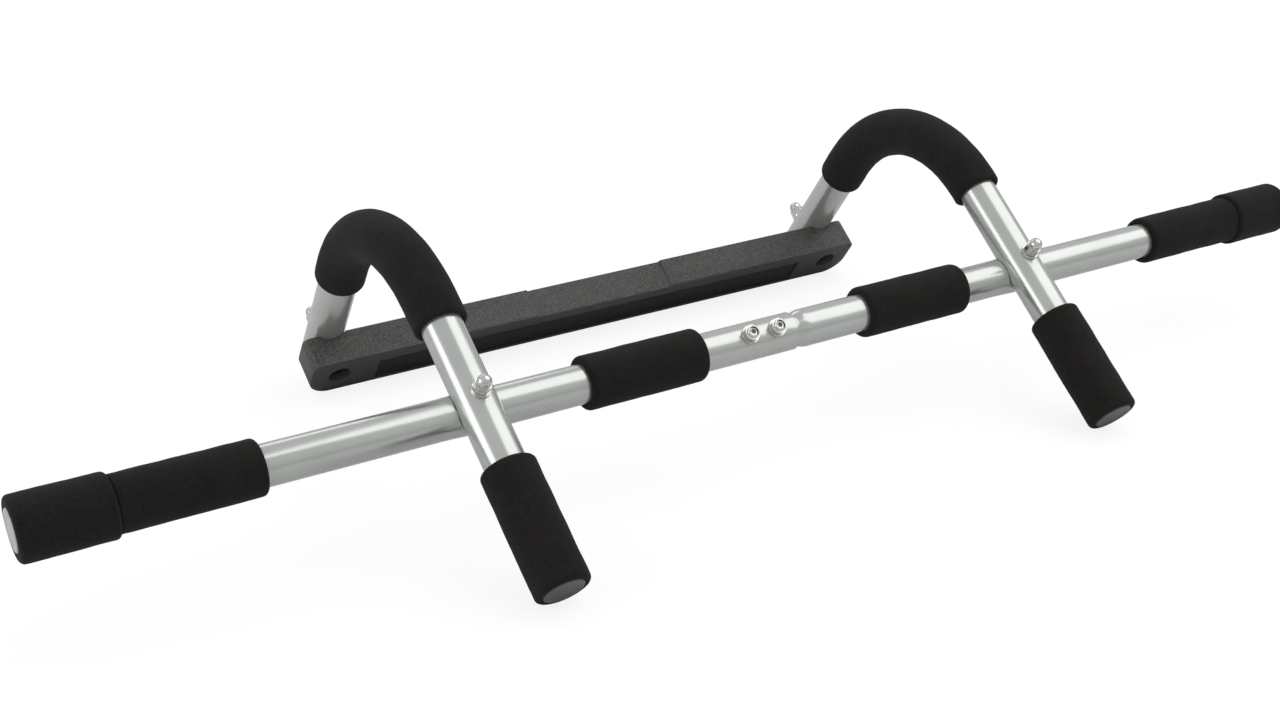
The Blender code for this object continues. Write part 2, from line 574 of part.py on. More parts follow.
def make_hardware(seats):
    nut = nut_mesh()
    seat_rise = WASHER_THICKNESS + 2 * GAP       # from a tube's surface to the nut or head on its washer
    under_bar = -BAR_RADIUS - GAP
    upside_down = Matrix.Rotation(math.radians(180), 4, "X")
    bar_washer = washer_mesh("bar_washer", saddle_depth(BAR_RADIUS))
    arm_washer = washer_mesh("arm_washer", saddle_depth(ARM_RADIUS))
    flat_washer = washer_mesh("flat_washer", 0.0)

    lock_nut = lock_nut_mesh()
    joint_seat = BAR_RADIUS + seat_rise
    joint_bolt = round_bolt_mesh("joint_bolt", 2 * joint_seat + LOCK_NUT_HEIGHT - LOCK_NUT_SINK)
    tilt = Matrix.Rotation(JOINT_BOLT_TURN, 4, "X")
    for number in (1, 2):
        x = joint_bolt_x(number)
        tag = "_" + str(number)
        place("joint_bolt" + tag, joint_bolt, steel, tilt @ Vector((x, 0, -joint_seat)), tilt)
        place("joint_nut" + tag, lock_nut, steel, tilt @ Vector((x, 0, joint_seat)), tilt)
        washer = place("joint_washer" + tag, bar_washer, steel, tilt @ Vector((x, 0, -under_bar)), tilt)
        cut(washer, seats["bar"])
        head_washer = place("joint_head_washer" + tag, bar_washer, steel, tilt @ Vector((x, 0, under_bar)),
                            tilt @ upside_down)
        cut(head_washer, seats["bar"])

    arm_top = ARM_RISE + ARM_RADIUS
    arm_bolt = round_bolt_mesh("arm_bolt", BAR_RADIUS + arm_top + 2 * seat_rise + BOLT_IN_NUT)
    head_seat = BRACE_FRONT_Y + COUNTERBORE_DEPTH
    leg_back = LEG_Y + ARM_RADIUS
    brace_bolt = hex_bolt_mesh("brace_bolt", leg_back - head_seat + 2 * seat_rise + BOLT_IN_NUT)
    for side, sign in SIDES.items():
        x = sign * ARM_SPACING / 2
        tag = "_" + side
        place("arm_bolt" + tag, arm_bolt, steel, (x, 0, -BAR_RADIUS - seat_rise))
        place("arm_nut" + tag, nut, steel, (x, 0, arm_top + seat_rise))
        washer = place("arm_washer" + tag, arm_washer, steel, (x, 0, arm_top + GAP))
        cut(washer, seats["arm_" + side])
        head_washer = place("arm_head_washer" + tag, bar_washer, steel, (x, 0, under_bar), upside_down)
        cut(head_washer, seats["bar"])
        place("brace_bolt" + tag, brace_bolt, steel, (x, head_seat - seat_rise, BRACE_BOLT_Z), ALONG_Y)
        place("brace_washer" + tag, flat_washer, steel, (x, head_seat - GAP, BRACE_BOLT_Z),
              Matrix.Rotation(math.radians(90), 4, "X"))
        back_at = (x, leg_back + GAP, BRACE_BOLT_Z)
        back_washer = place("brace_back_washer" + tag, arm_washer, steel, back_at, ALONG_Y)
        cut(back_washer, seats["leg_" + side])
        place("brace_nut" + tag, nut, steel, (x, leg_back + seat_rise, BRACE_BOLT_Z), ALONG_Y)


def lean_frame():
    # Leans the frame until the handles and the brace's lower front edge are level.
    handle = Vector((FOAM_EDGE - HANDLE_LENGTH - FOAM_OVER_PLUG,
                     FOAM_EDGE + ARM_RISE - HANDLE_GRIP_RADIUS))
    brace = Vector((BRACE_FRONT_Y + BRACE_EDGE, BRACE_BOTTOM_Z + BRACE_EDGE))
    span = brace - handle
    lean = math.atan2(-span.y, span.x) - math.asin((FOAM_EDGE - BRACE_EDGE) / span.length)
    frame.rotation_euler = (lean, 0.0, 0.0)
    bpy.context.view_layer.update()


def stand_on_origin():
    # Puts the middle of the frame's box over the origin and its lowest point at Z = 0.
    depsgraph = bpy.context.evaluated_depsgraph_get()
    corners = []
    for thing in bpy.data.objects:
        if thing.type == "MESH" and not thing.hide_render:
            solid = thing.evaluated_get(depsgraph)
            corners += [solid.matrix_world @ point.co for point in solid.data.vertices]
    lows = [min(corner[axis] for corner in corners) for axis in range(3)]
    highs = [max(corner[axis] for corner in corners) for axis in range(3)]
    frame.location = (-(lows[0] + highs[0]) / 2, -(lows[1] + highs[1]) / 2, -lows[2])
    bpy.context.view_layer.update()


clear_scene()
frame = bpy.data.objects.new("frame", None)
bpy.context.collection.objects.link(frame)

silver = make_material("silver_paint", (0.58, 0.60, 0.59), 0.35, 0.55)
foam = make_material("black_foam", (0.016, 0.014, 0.013), 0.92, 0.0)
plastic = make_material("grey_plastic", (0.055, 0.053, 0.054), 0.60, 0.0)
rubber = make_material("black_rubber", (0.012, 0.011, 0.010), 0.85, 0.0)
steel = make_material("bright_zinc", (0.72, 0.72, 0.70), 0.22, 1.0)
plug = make_material("grey_plug", (0.30, 0.31, 0.31), 0.45, 0.0)
cutter_material = make_material("cutter", (0.8, 0.1, 0.1), 0.5, 0.0)

bolt_holes = make_bolt_holes()
tube_seats = make_seats()
make_cross_bar(tube_seats)
make_arms()
make_sleeves()
make_plugs()
make_brace(tube_seats)
make_hardware(tube_seats)
weld_cuts()
lean_frame()
stand_on_origin()
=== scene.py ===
import json
import math

import bmesh
import bpy
from mathutils import Matrix, Vector, noise


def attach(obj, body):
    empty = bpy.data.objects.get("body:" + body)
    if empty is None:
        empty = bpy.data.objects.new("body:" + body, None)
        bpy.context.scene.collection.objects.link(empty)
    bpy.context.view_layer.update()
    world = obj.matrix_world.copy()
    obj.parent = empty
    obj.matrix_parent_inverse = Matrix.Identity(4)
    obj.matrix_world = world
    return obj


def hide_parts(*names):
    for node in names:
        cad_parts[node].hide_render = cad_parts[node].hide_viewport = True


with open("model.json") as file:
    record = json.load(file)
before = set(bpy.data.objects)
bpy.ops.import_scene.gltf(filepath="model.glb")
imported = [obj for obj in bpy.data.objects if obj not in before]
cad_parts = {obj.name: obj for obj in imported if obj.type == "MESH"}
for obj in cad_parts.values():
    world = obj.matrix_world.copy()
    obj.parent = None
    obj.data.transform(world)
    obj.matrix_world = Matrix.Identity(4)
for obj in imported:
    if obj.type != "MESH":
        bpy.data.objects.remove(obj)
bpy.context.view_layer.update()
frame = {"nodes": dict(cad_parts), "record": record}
print("frame loaded,", len(frame["nodes"]), "nodes")

# The arms' own frame: X along the cross bar, Y along the arms to the bends, Z square to both.
# The cross bar's middle is at its origin, and the whole frame leans back about X.
mounts = {mount["name"]: mount for mount in frame["record"]["mounts"]}
barEndFace = Vector(mounts["bar_end_right"]["pos_m"])
wallWay = Vector(mounts["brace_wall_face"]["axis"])
lean = math.atan2(-wallWay.z, -wallWay.y)
armFrame = Matrix.Translation((0, barEndFace.y, barEndFace.z)) @ Matrix.Rotation(lean, 4, "X")
toArmFrame = armFrame.inverted()
sides = {"left": -1, "right": 1}
sameSpot = 1e-6                # points closer than this are one
quarterTurn = math.radians(90)
unturned = Matrix.Identity(4)
alongX = Matrix.Rotation(quarterTurn, 4, "Y")
alongY = Matrix.Rotation(-quarterTurn, 4, "X")
towardsFront = Matrix.Rotation(quarterTurn, 4, "X")
upsideDown = Matrix.Rotation(math.pi, 4, "X")


# Node groups shared by the materials

def newGroup(name, inputs, outputs):
    group = bpy.data.node_groups.new(name, "ShaderNodeTree")
    for label, kind, value in inputs:
        socket = group.interface.new_socket(label, in_out="INPUT", socket_type=kind)
        if value is not None:
            socket.default_value = value
    for label, kind in outputs:
        group.interface.new_socket(label, in_out="OUTPUT", socket_type=kind)
    start = group.nodes.new("NodeGroupInput")
    end = group.nodes.new("NodeGroupOutput")
    return group, start, end


def addNode(tree, kind, values=None, **settings):
    node = tree.nodes.new(kind)
    for key, value in settings.items():
        setattr(node, key, value)
    for socket, value in (values or {}).items():
        node.inputs[socket].default_value = value
    return node


def makeGrainGroup():
    # Fine pebbled height: small cells broken up by noise
    group, start, end = newGroup(
        "moulded grain",
        [("Vector", "NodeSocketVector", None), ("Size", "NodeSocketFloat", 0.001),
         ("Breakup", "NodeSocketFloat", 0.5)],
        [("Height", "NodeSocketFloat")])
    scale = addNode(group, "ShaderNodeMath", {0: 1.0}, operation="DIVIDE")
    cells = addNode(group, "ShaderNodeTexVoronoi", {"Smoothness": 0.6}, feature="SMOOTH_F1")
    rough = addNode(group, "ShaderNodeTexNoise", {"Detail": 3.0})
    mix = addNode(group, "ShaderNodeMix", data_type="FLOAT")
    link = group.links.new
    link(start.outputs["Size"], scale.inputs[1])
    for texture in (cells, rough):
        link(start.outputs["Vector"], texture.inputs["Vector"])
        link(scale.outputs[0], texture.inputs["Scale"])
    link(start.outputs["Breakup"], mix.inputs["Factor"])
    link(cells.outputs["Distance"], mix.inputs["A"])
    link(rough.outputs["Fac"], mix.inputs["B"])
    link(mix.outputs["Result"], end.inputs["Height"])
    return group


def makeMottleGroup():
    # Two colours in soft patches, with a fainter, finer fleck over them
    group, start, end = newGroup(
        "mottle",
        [("Vector", "NodeSocketVector", None), ("Dark", "NodeSocketColor", None),
         ("Light", "NodeSocketColor", None), ("Patch Scale", "NodeSocketFloat", 40.0),
         ("Fleck Scale", "NodeSocketFloat", 900.0), ("Fleck Share", "NodeSocketFloat", 0.3)],
        [("Color", "NodeSocketColor")])
    patches = addNode(group, "ShaderNodeTexNoise", {"Detail": 4.0})
    flecks = addNode(group, "ShaderNodeTexNoise", {"Detail": 2.0})
    blend = addNode(group, "ShaderNodeMix", data_type="FLOAT")
    spread = addNode(group, "ShaderNodeMapRange", {"From Min": 0.32, "From Max": 0.68})
    mix = addNode(group, "ShaderNodeMix", data_type="RGBA")
    link = group.links.new
    link(start.outputs["Vector"], patches.inputs["Vector"])
    link(start.outputs["Vector"], flecks.inputs["Vector"])
    link(start.outputs["Patch Scale"], patches.inputs["Scale"])
    link(start.outputs["Fleck Scale"], flecks.inputs["Scale"])
    link(start.outputs["Fleck Share"], blend.inputs["Factor"])
    link(patches.outputs["Fac"], blend.inputs["A"])
    link(flecks.outputs["Fac"], blend.inputs["B"])
    link(blend.outputs["Result"], spread.inputs["Value"])
    link(spread.outputs["Result"], mix.inputs["Factor"])
    link(start.outputs["Dark"], mix.inputs["A"])
    link(start.outputs["Light"], mix.inputs["B"])
    link(mix.outputs["Result"], end.inputs["Color"])
    return group


def makeRubGroup():
    # Handling marks: long faint streaks and small rubbed spots, as a mask and a roughness
    group, start, end = newGroup(
        "rub marks",
        [("Vector", "NodeSocketVector", None), ("Scale", "NodeSocketFloat", 60.0),
         ("Amount", "NodeSocketFloat", 0.3), ("Smooth", "NodeSocketFloat", 0.25),
         ("Rough", "NodeSocketFloat", 0.4)],
        [("Mask", "NodeSocketFloat"), ("Roughness", "NodeSocketFloat")])
    marks = addNode(group, "ShaderNodeTexNoise", {"Detail": 8.0, "Roughness": 0.65})
    pick = addNode(group, "ShaderNodeMapRange", {"From Min": 0.50, "From Max": 0.72})
    fade = addNode(group, "ShaderNodeMath", operation="MULTIPLY")
    level = addNode(group, "ShaderNodeMix", data_type="FLOAT")
    link = group.links.new
    link(start.outputs["Vector"], marks.inputs["Vector"])
    link(start.outputs["Scale"], marks.inputs["Scale"])
    link(marks.outputs["Fac"], pick.inputs["Value"])
    link(pick.outputs["Result"], fade.inputs[0])
    link(start.outputs["Amount"], fade.inputs[1])
    link(marks.outputs["Fac"], level.inputs["Factor"])
    link(start.outputs["Smooth"], level.inputs["A"])
    link(start.outputs["Rough"], level.inputs["B"])
    link(fade.outputs[0], end.inputs["Mask"])
    link(level.outputs["Result"], end.inputs["Roughness"])
    return group


grainGroup = makeGrainGroup()
mottleGroup = makeMottleGroup()
rubGroup = makeRubGroup()


# Materials

def startMaterial(name, turned=False):
    # Object coordinates, turned into the arms' frame where asked
    material = bpy.data.materials.new(name)
    material.use_nodes = True
    tree = material.node_tree
    shader = tree.nodes["Principled BSDF"]
    vector = addNode(tree, "ShaderNodeTexCoord").outputs["Object"]
    if turned:
        mapping = addNode(tree, "ShaderNodeMapping", {"Rotation": (-lean, 0, 0)})
        tree.links.new(vector, mapping.inputs["Vector"])
        vector = mapping.outputs["Vector"]
    return material, tree, shader, vector


def useGroup(tree, group, vector, **values):
    node = addNode(tree, "ShaderNodeGroup", node_tree=group)
    tree.links.new(vector, node.inputs["Vector"])
    for label, value in values.items():
        node.inputs[label.replace("_", " ")].default_value = value
    return node


def mottledColour(tree, vector, look):
    mottle = useGroup(tree, mottleGroup, vector, Dark=look["dark"], Light=look["light"],
                      Patch_Scale=look["patches"], Fleck_Scale=look["flecks"],
                      Fleck_Share=look["fleckShare"])
    return mottle.outputs["Color"]


def rubbedRoughness(tree, vector, look):
    rub = useGroup(tree, rubGroup, vector, Scale=look["rubScale"], Smooth=look["smooth"],
                   Rough=look["rough"])
    return rub.outputs["Roughness"]


def grainHeight(tree, vector, size, breakup):
    grain = useGroup(tree, grainGroup, vector, Size=size, Breakup=breakup)
    return grain.outputs["Height"]


def feedShader(tree, shader, colour, roughness, height, depth):
    link = tree.links.new
    bump = addNode(tree, "ShaderNodeBump", {"Strength": 1.0, "Distance": depth})
    link(height, bump.inputs["Height"])
    link(colour, shader.inputs["Base Color"])
    link(roughness, shader.inputs["Roughness"])
    link(bump.outputs["Normal"], shader.inputs["Normal"])


def evenMaterial(name, look, turned=False):
    # The same mottling, rubbing and grain all over
    material, tree, shader, vector = startMaterial(name, turned)
    grain = grainHeight(tree, vector, look["grain"], look["grainBreakup"])
    feedShader(tree, shader, mottledColour(tree, vector, look),
               rubbedRoughness(tree, vector, look), grain, look["grainDepth"])
    return material, shader


def makeSilverPaint():
    look = {
        "dark": (0.590, 0.605, 0.580, 1), "light": (0.640, 0.655, 0.628, 1),
        "patches": 38.0, "flecks": 2600.0, "fleckShare": 0.25,
        "rubScale": 34.0, "smooth": 0.19, "rough": 0.24,
        "grain": 0.0060, "grainBreakup": 1.0, "grainDepth": 0.0000010,    # faint orange peel
        "metallic": 0.70, "coat": 0.15, "coatRough": 0.16,
    }
    material, shader = evenMaterial("silver paint", look, turned=True)
    shader.inputs["Metallic"].default_value = look["metallic"]
    shader.inputs["Coat Weight"].default_value = look["coat"]
    shader.inputs["Coat Roughness"].default_value = look["coatRough"]
    return material


def makeBlackFoam():
    look = {
        "dark": (0.0048, 0.0041, 0.0036, 1), "light": (0.0185, 0.0164, 0.0146, 1),
        "patches": 60.0, "flecks": 1150.0, "fleckShare": 0.72,
        "rubScale": 160.0, "smooth": 0.80, "rough": 1.0,
        "pore": 0.0010, "poreBreakup": 0.55, "lump": 0.0045, "lumpBreakup": 0.85,
        "lumpShare": 0.9, "depth": 0.00042,
        "specular": 0.22, "sheen": 0.03, "sheenRough": 0.6,
    }
    material, tree, shader, vector = startMaterial("black foam")
    lumps = grainHeight(tree, vector, look["lump"], look["lumpBreakup"])
    pores = grainHeight(tree, vector, look["pore"], look["poreBreakup"])
    height = addNode(tree, "ShaderNodeMath", {1: look["lumpShare"]}, operation="MULTIPLY_ADD")
    tree.links.new(lumps, height.inputs[0])
    tree.links.new(pores, height.inputs[2])
    feedShader(tree, shader, mottledColour(tree, vector, look),
               rubbedRoughness(tree, vector, look), height.outputs[0], look["depth"])
    shader.inputs["Specular IOR Level"].default_value = look["specular"]
    shader.inputs["Sheen Weight"].default_value = look["sheen"]
    shader.inputs["Sheen Roughness"].default_value = look["sheenRough"]
    return material


def makeBracePlastic():
    # Pebbled on top and at the ends, nearly smooth on the front and underneath
    pebbledLook = {
        "dark": (0.022, 0.020, 0.019, 1), "light": (0.118, 0.110, 0.103, 1),
        "patches": 70.0, "flecks": 780.0, "fleckShare": 0.82,
    }
    plainLook = {
        "dark": (0.040, 0.039, 0.042, 1), "light": (0.056, 0.055, 0.059, 1),
        "patches": 45.0, "flecks": 1400.0, "fleckShare": 0.35,
    }
    look = {
        "worn": (0.17, 0.165, 0.165, 1), "leastWearAndHighlight": 0.30, "rubAmount": 0.8,
        "rubScale": 120.0, "smooth": 0.34, "rough": 0.62,
        "pebble": 0.0013, "pebbleBreakup": 0.45, "pebbleDepth": 0.00060,
        "plainRelief": 0.15,       # share of the pebbles' height left on the plain faces
    }
    material, tree, shader, vector = startMaterial("brace plastic", turned=True)
    link = tree.links.new
    grained = addNode(tree, "ShaderNodeAttribute", attribute_name="grained")
    colour = addNode(tree, "ShaderNodeMix", data_type="RGBA")
    link(grained.outputs["Fac"], colour.inputs["Factor"])
    link(mottledColour(tree, vector, plainLook), colour.inputs["A"])
    link(mottledColour(tree, vector, pebbledLook), colour.inputs["B"])

    # Real wear and a painted highlight: the lighter edge colour goes on the softened edges as wear,
    # and along the front's rounded top edge as a painted highlight
    worn = addNode(tree, "ShaderNodeAttribute", attribute_name="wear")
    rub = useGroup(tree, rubGroup, vector, Scale=look["rubScale"], Amount=look["rubAmount"],
                   Smooth=look["smooth"], Rough=look["rough"])
    patchy = addNode(tree, "ShaderNodeMath", {1: look["leastWearAndHighlight"]}, operation="ADD")
    edgeWearAndHighlight = addNode(tree, "ShaderNodeMath", operation="MULTIPLY", use_clamp=True)
    link(rub.outputs["Mask"], patchy.inputs[0])
    link(worn.outputs["Fac"], edgeWearAndHighlight.inputs[0])
    link(patchy.outputs[0], edgeWearAndHighlight.inputs[1])
    rubbedAndHighlit = addNode(tree, "ShaderNodeMix", {"B": look["worn"]}, data_type="RGBA")
    link(edgeWearAndHighlight.outputs[0], rubbedAndHighlit.inputs["Factor"])
    link(colour.outputs["Result"], rubbedAndHighlit.inputs["A"])

    depth = addNode(tree, "ShaderNodeMath",
                    {1: 1 - look["plainRelief"], 2: look["plainRelief"]}, operation="MULTIPLY_ADD")
    link(grained.outputs["Fac"], depth.inputs[0])
    height = addNode(tree, "ShaderNodeMath", operation="MULTIPLY")
    pebbles = grainHeight(tree, vector, look["pebble"], look["pebbleBreakup"])
    link(pebbles, height.inputs[0])
    link(depth.outputs[0], height.inputs[1])
    feedShader(tree, shader, rubbedAndHighlit.outputs["Result"], rub.outputs["Roughness"],
               height.outputs[0], look["pebbleDepth"])
    return material


def makePadRubber():
    look = {
        "dark": (0.0085, 0.0080, 0.0078, 1), "light": (0.0170, 0.0160, 0.0150, 1),
        "patches": 60.0, "flecks": 1600.0, "fleckShare": 0.4,
        "rubScale": 110.0, "smooth": 0.55, "rough": 0.85,
        "grain": 0.0006, "grainBreakup": 0.5, "grainDepth": 0.00010,
    }
    return evenMaterial("pad rubber", look)[0]


def makeZinc(name, shade):
    look = {
        "dark": (0.62 * shade, 0.62 * shade, 0.59 * shade, 1),
        "light": (0.86 * shade, 0.86 * shade, 0.84 * shade, 1),
        "patches": 180.0, "flecks": 2600.0, "fleckShare": 0.3,
        "rubScale": 240.0, "smooth": 0.10, "rough": 0.20,
        "ripple": 0.0020, "rippleBreakup": 0.8, "rippleDepth": 0.000004,
        "cutEnd": (0.11, 0.11, 0.10, 1), "cutRough": 0.5,
    }
    material, tree, shader, vector = startMaterial(name)
    link = tree.links.new
    cut = addNode(tree, "ShaderNodeAttribute", attribute_name="cut")
    colour = addNode(tree, "ShaderNodeMix", {"B": look["cutEnd"]}, data_type="RGBA")
    roughness = addNode(tree, "ShaderNodeMix", {"B": look["cutRough"]}, data_type="FLOAT")
    link(cut.outputs["Fac"], colour.inputs["Factor"])
    link(cut.outputs["Fac"], roughness.inputs["Factor"])
    link(mottledColour(tree, vector, look), colour.inputs["A"])
    link(rubbedRoughness(tree, vector, look), roughness.inputs["A"])
    ripple = grainHeight(tree, vector, look["ripple"], look["rippleBreakup"])
    feedShader(tree, shader, colour.outputs["Result"], roughness.outputs["Result"], ripple,
               look["rippleDepth"])
    shader.inputs["Metallic"].default_value = 1.0
    return material


def makeGreyPlug(name, grey):
    look = {
        "dark": (*[part * 0.90 for part in grey], 1), "light": (*[part * 1.12 for part in grey], 1),
        "patches": 120.0, "flecks": 1800.0, "fleckShare": 0.35,
        "rubScale": 200.0, "smooth": 0.30, "rough": 0.52,
        "grain": 0.0009, "grainBreakup": 0.6, "grainDepth": 0.00004,
    }
    return evenMaterial(name, look)[0]


finishes = {
    "silver_paint": makeSilverPaint(),
    "black_foam": makeBlackFoam(),
    "grey_plastic": makeBracePlastic(),
    "black_rubber": makePadRubber(),
    "bright_zinc": makeZinc("bright zinc", 1.0),
    "grey_plug": makeGreyPlug("pale plug", (0.52, 0.545, 0.535)),
}
# Painted shade: a darker copy of the zinc for the brace's bolts and washers, which sit deep in the
# counterbores
shadedZincFinish = makeZinc("zinc in painted shade", 0.16)
# Painted shade: a darker copy of the plug plastic for the handle ends, which face away from the
# light
shadedHandlePlugFinish = makeGreyPlug("dark plug", (0.130, 0.133, 0.133))
print("materials made")


# Shapes that several pieces use

def arcPoints(centre, radius, start, stop, steps):
    points = []
    for step in range(steps + 1):
        angle = start + (stop - start) * step / steps
        points.append((centre[0] + radius * math.cos(angle), centre[1] + radius * math.sin(angle)))
    return points


def stationsBetween(start, stop, pitch):
    count = max(1, math.ceil((stop - start) / pitch))
    return [start + (stop - start) * number / count for number in range(count + 1)]


def turnedShape(profile, segments, closed=True):
    # Turns a profile of (radius, height) points about Z
    shape = bmesh.new()
    points = [shape.verts.new((radius, 0, height)) for radius, height in profile]
    edges = [shape.edges.new(pair) for pair in zip(points, points[1:])]
    if closed:
        edges.append(shape.edges.new((points[-1], points[0])))
    bmesh.ops.spin(shape, geom=points + edges, cent=(0, 0, 0), axis=(0, 0, 1), angle=math.tau,
                   steps=segments, use_merge=True, use_duplicate=False)
    bmesh.ops.remove_doubles(shape, verts=shape.verts, dist=sameSpot)
    return shape


def roundEdges(shape, edges, width, steps):
    return bmesh.ops.bevel(shape, geom=edges, offset=width, segments=steps, profile=0.5,
                           material=-1, affect="EDGES", clamp_overlap=True)


def meshFrom(name, shape):
    mesh = bpy.data.meshes.new(name)
    shape.to_mesh(mesh)
    shape.free()
    return mesh


def addObject(name, data):
    added = bpy.data.objects.new(name, data)
    bpy.context.collection.objects.link(added)
    return added


def heldObject(shape):
    # A shape as an object for a while, to be cut or to cut with
    bmesh.ops.recalc_face_normals(shape, faces=shape.faces)
    return addObject("workpiece", meshFrom("workpiece", shape))


def cutShape(blank, cutters, operation, weldDistance=0):
    workpiece = heldObject(blank)
    tools = [heldObject(cutter) for cutter in cutters]
    for tool in tools:
        cut = workpiece.modifiers.new("cut", "BOOLEAN")
        cut.operation = operation
        cut.solver = "EXACT"
        cut.object = tool
    if weldDistance:
        workpiece.modifiers.new("weld", "WELD").merge_threshold = weldDistance
    shape = bmesh.new()
    shape.from_object(workpiece, bpy.context.evaluated_depsgraph_get())
    for held in [workpiece] + tools:
        bpy.data.objects.remove(held, do_unlink=True)
    return shape


def finishPiece(node, shape, slotName, at=unturned, smoothAngle=38, finish=None):
    # Puts a shape, made in the arms' frame, in its place and lets it stand for its CAD node.
    # The piece is named after the node: bar_tube_left gives barTubeLeft.
    first, *others = node.split("_")
    name = first + "".join(word.title() for word in others)
    bmesh.ops.recalc_face_normals(shape, faces=shape.faces)
    shape.transform(armFrame @ at)
    mesh = meshFrom(name, shape)
    mesh.shade_smooth()
    mesh.set_sharp_from_angle(angle=math.radians(smoothAngle))
    mesh.materials.append(finish or finishes[slotName])
    piece = addObject(name, mesh)
    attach(piece, "root")
    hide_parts(node)
    return piece


# Tubes

tubes = {
    "wall": 0.0015,
    "barRadius": 0.0125,
    "armRadius": 0.0130,
    "rise": 0.0135,            # the arms' middles above the bar's
    "armSpacing": 0.4205,
    "plugHead": 0.0030,
    "handleEnd": -0.1260,
    "reach": 0.0675,           # start of the bend
    "bendRadius": 0.1045,
    "legLength": 0.1030,
    "lip": 0.0004,             # rounding of the tubes' cut ends
    "pitch": 0.004,            # between rings along the arms
    "segments": 96,
}
tubes["barHalf"] = barEndFace.x - tubes["plugHead"]
tubes["bendStop"] = tubes["reach"] + tubes["bendRadius"] * quarterTurn
tubes["legY"] = tubes["reach"] + tubes["bendRadius"]
tubes["legTopZ"] = tubes["rise"] - tubes["bendRadius"]
armMiddles = {side: sign * tubes["armSpacing"] / 2 for side, sign in sides.items()}

joint = {
    "leftEnd": 0.0194,         # where the left half stops
    "shoulder": 0.0210,        # where the right half's neck starts to widen
    "shoulderEnd": 0.0290,
    "spigotEnd": -0.0390,
    "fit": 0.0003,             # clearance of the spigot in the left half
    "mouth": 0.0009,           # rounding of the left half's end
    "mouthSteps": 5,
    "shoulderSteps": 16,
    "shoulderSwell": 1.2,      # over 1, the shoulder starts more gently
}

dent = {
    "clear": 0.00015,          # between the dent and the arm in it
    "blend": 0.0016,           # softness of the pressed edge
    "bulge": 0.055,            # share by which the sides swell
    "reach": 0.022,
    "flare": 3,                # rise of the limit beside the arm
    "finePitch": 0.0006,
    "pitch": 0.006,
}


def smoothLower(a, b, softness):
    share = min(1.0, max(0.0, 0.5 + 0.5 * (b - a) / softness))
    return b * (1 - share) + a * share - softness * share * (1 - share)


def pressDent(shape, armX):
    # Pushes the top of the bar's wall down around the arm that lies in it
    middle = tubes["barRadius"] - tubes["wall"] / 2
    for point in shape.verts:
        across = abs(point.co.x - armX)
        if across > dent["reach"]:
            continue
        inside = math.hypot(point.co.y, point.co.z) < middle
        seat = tubes["armRadius"] + dent["clear"] + (tubes["wall"] if inside else 0)
        if across < seat:
            limit = tubes["rise"] - math.sqrt(seat ** 2 - across ** 2)
        else:
            limit = tubes["rise"] + dent["flare"] * (across - seat)
        fade = 0.5 + 0.5 * math.cos(math.pi * across / dent["reach"])
        point.co.y *= 1 + dent["bulge"] * fade
        point.co.z = smoothLower(point.co.z, limit, dent["blend"])


def barStations(start, stop, armX):
    near = (armX - dent["reach"], armX + dent["reach"])
    stations = stationsBetween(start, near[0], dent["pitch"])[:-1]
    stations += stationsBetween(near[0], near[1], dent["finePitch"])[:-1]
    return stations + stationsBetween(near[1], stop, dent["pitch"])


def makeBarTubes():
    radius, bore = tubes["barRadius"], tubes["barRadius"] - tubes["wall"]
    for side, armX in armMiddles.items():
        if side == "left":
            start, stop = -tubes["barHalf"], joint["leftEnd"]
            stations = barStations(start, stop - joint["mouth"], armX)
            outside = [(radius, height) for height in stations]
            outside += arcPoints((radius - joint["mouth"], stop - joint["mouth"]), joint["mouth"],
                                 0, quarterTurn, joint["mouthSteps"])[1:]
            inside = [(bore, height) for height in reversed(stations)]
        else:
            start, stop = joint["shoulderEnd"], tubes["barHalf"]
            stations = barStations(start, stop, armX)
            spigot = bore - joint["fit"]
            neckBore = spigot - tubes["wall"]
            outside = [(spigot, joint["spigotEnd"]), (spigot, joint["shoulder"])]
            for step in range(1, joint["shoulderSteps"]):
                share = step / joint["shoulderSteps"]
                rise = math.sin(share * quarterTurn) ** joint["shoulderSwell"]
                height = joint["shoulder"] + share * (start - joint["shoulder"])
                outside.append((spigot + (radius - spigot) * rise, height))
            outside += [(radius, height) for height in stations]
            inside = [(bore, height) for height in reversed(stations)]
            inside += [(neckBore, joint["shoulder"]), (neckBore, joint["spigotEnd"])]
        shape = turnedShape(outside + inside, tubes["segments"])
        shape.transform(alongX)
        pressDent(shape, armX)
        finishPiece("bar_tube_" + side, shape, "silver_paint")


def bendAlongArm(shape, armX):
    # Takes a shape turned about Z and lays its length along an arm, through the bend
    for point in shape.verts:
        x, out, along = point.co
        if along <= tubes["reach"]:
            y, z = along, tubes["rise"] + out
        elif along <= tubes["bendStop"]:
            angle = (along - tubes["reach"]) / tubes["bendRadius"]
            y = tubes["reach"] + (tubes["bendRadius"] + out) * math.sin(angle)
            z = tubes["legTopZ"] + (tubes["bendRadius"] + out) * math.cos(angle)
        else:
            y, z = tubes["legY"] + out, tubes["legTopZ"] - (along - tubes["bendStop"])
        point.co = (armX + x, y, z)


def makeArmTubes():
    radius, bore, lip = tubes["armRadius"], tubes["armRadius"] - tubes["wall"], tubes["lip"]
    start, stop = tubes["handleEnd"], tubes["bendStop"] + tubes["legLength"]
    stations = stationsBetween(start + lip, stop - lip, tubes["pitch"])
    profile = [(radius, height) for height in stations]
    profile += [(radius - lip, stop), (bore, stop)]
    profile += [(bore, height) for height in reversed(stations)]
    profile += [(bore, start), (radius - lip, start)]
    for side, armX in armMiddles.items():
        shape = turnedShape(profile, tubes["segments"])
        bendAlongArm(shape, armX)
        finishPiece("arm_tube_" + side, shape, "silver_paint")


makeBarTubes()
makeArmTubes()
print("tubes made")


# Foam sleeves

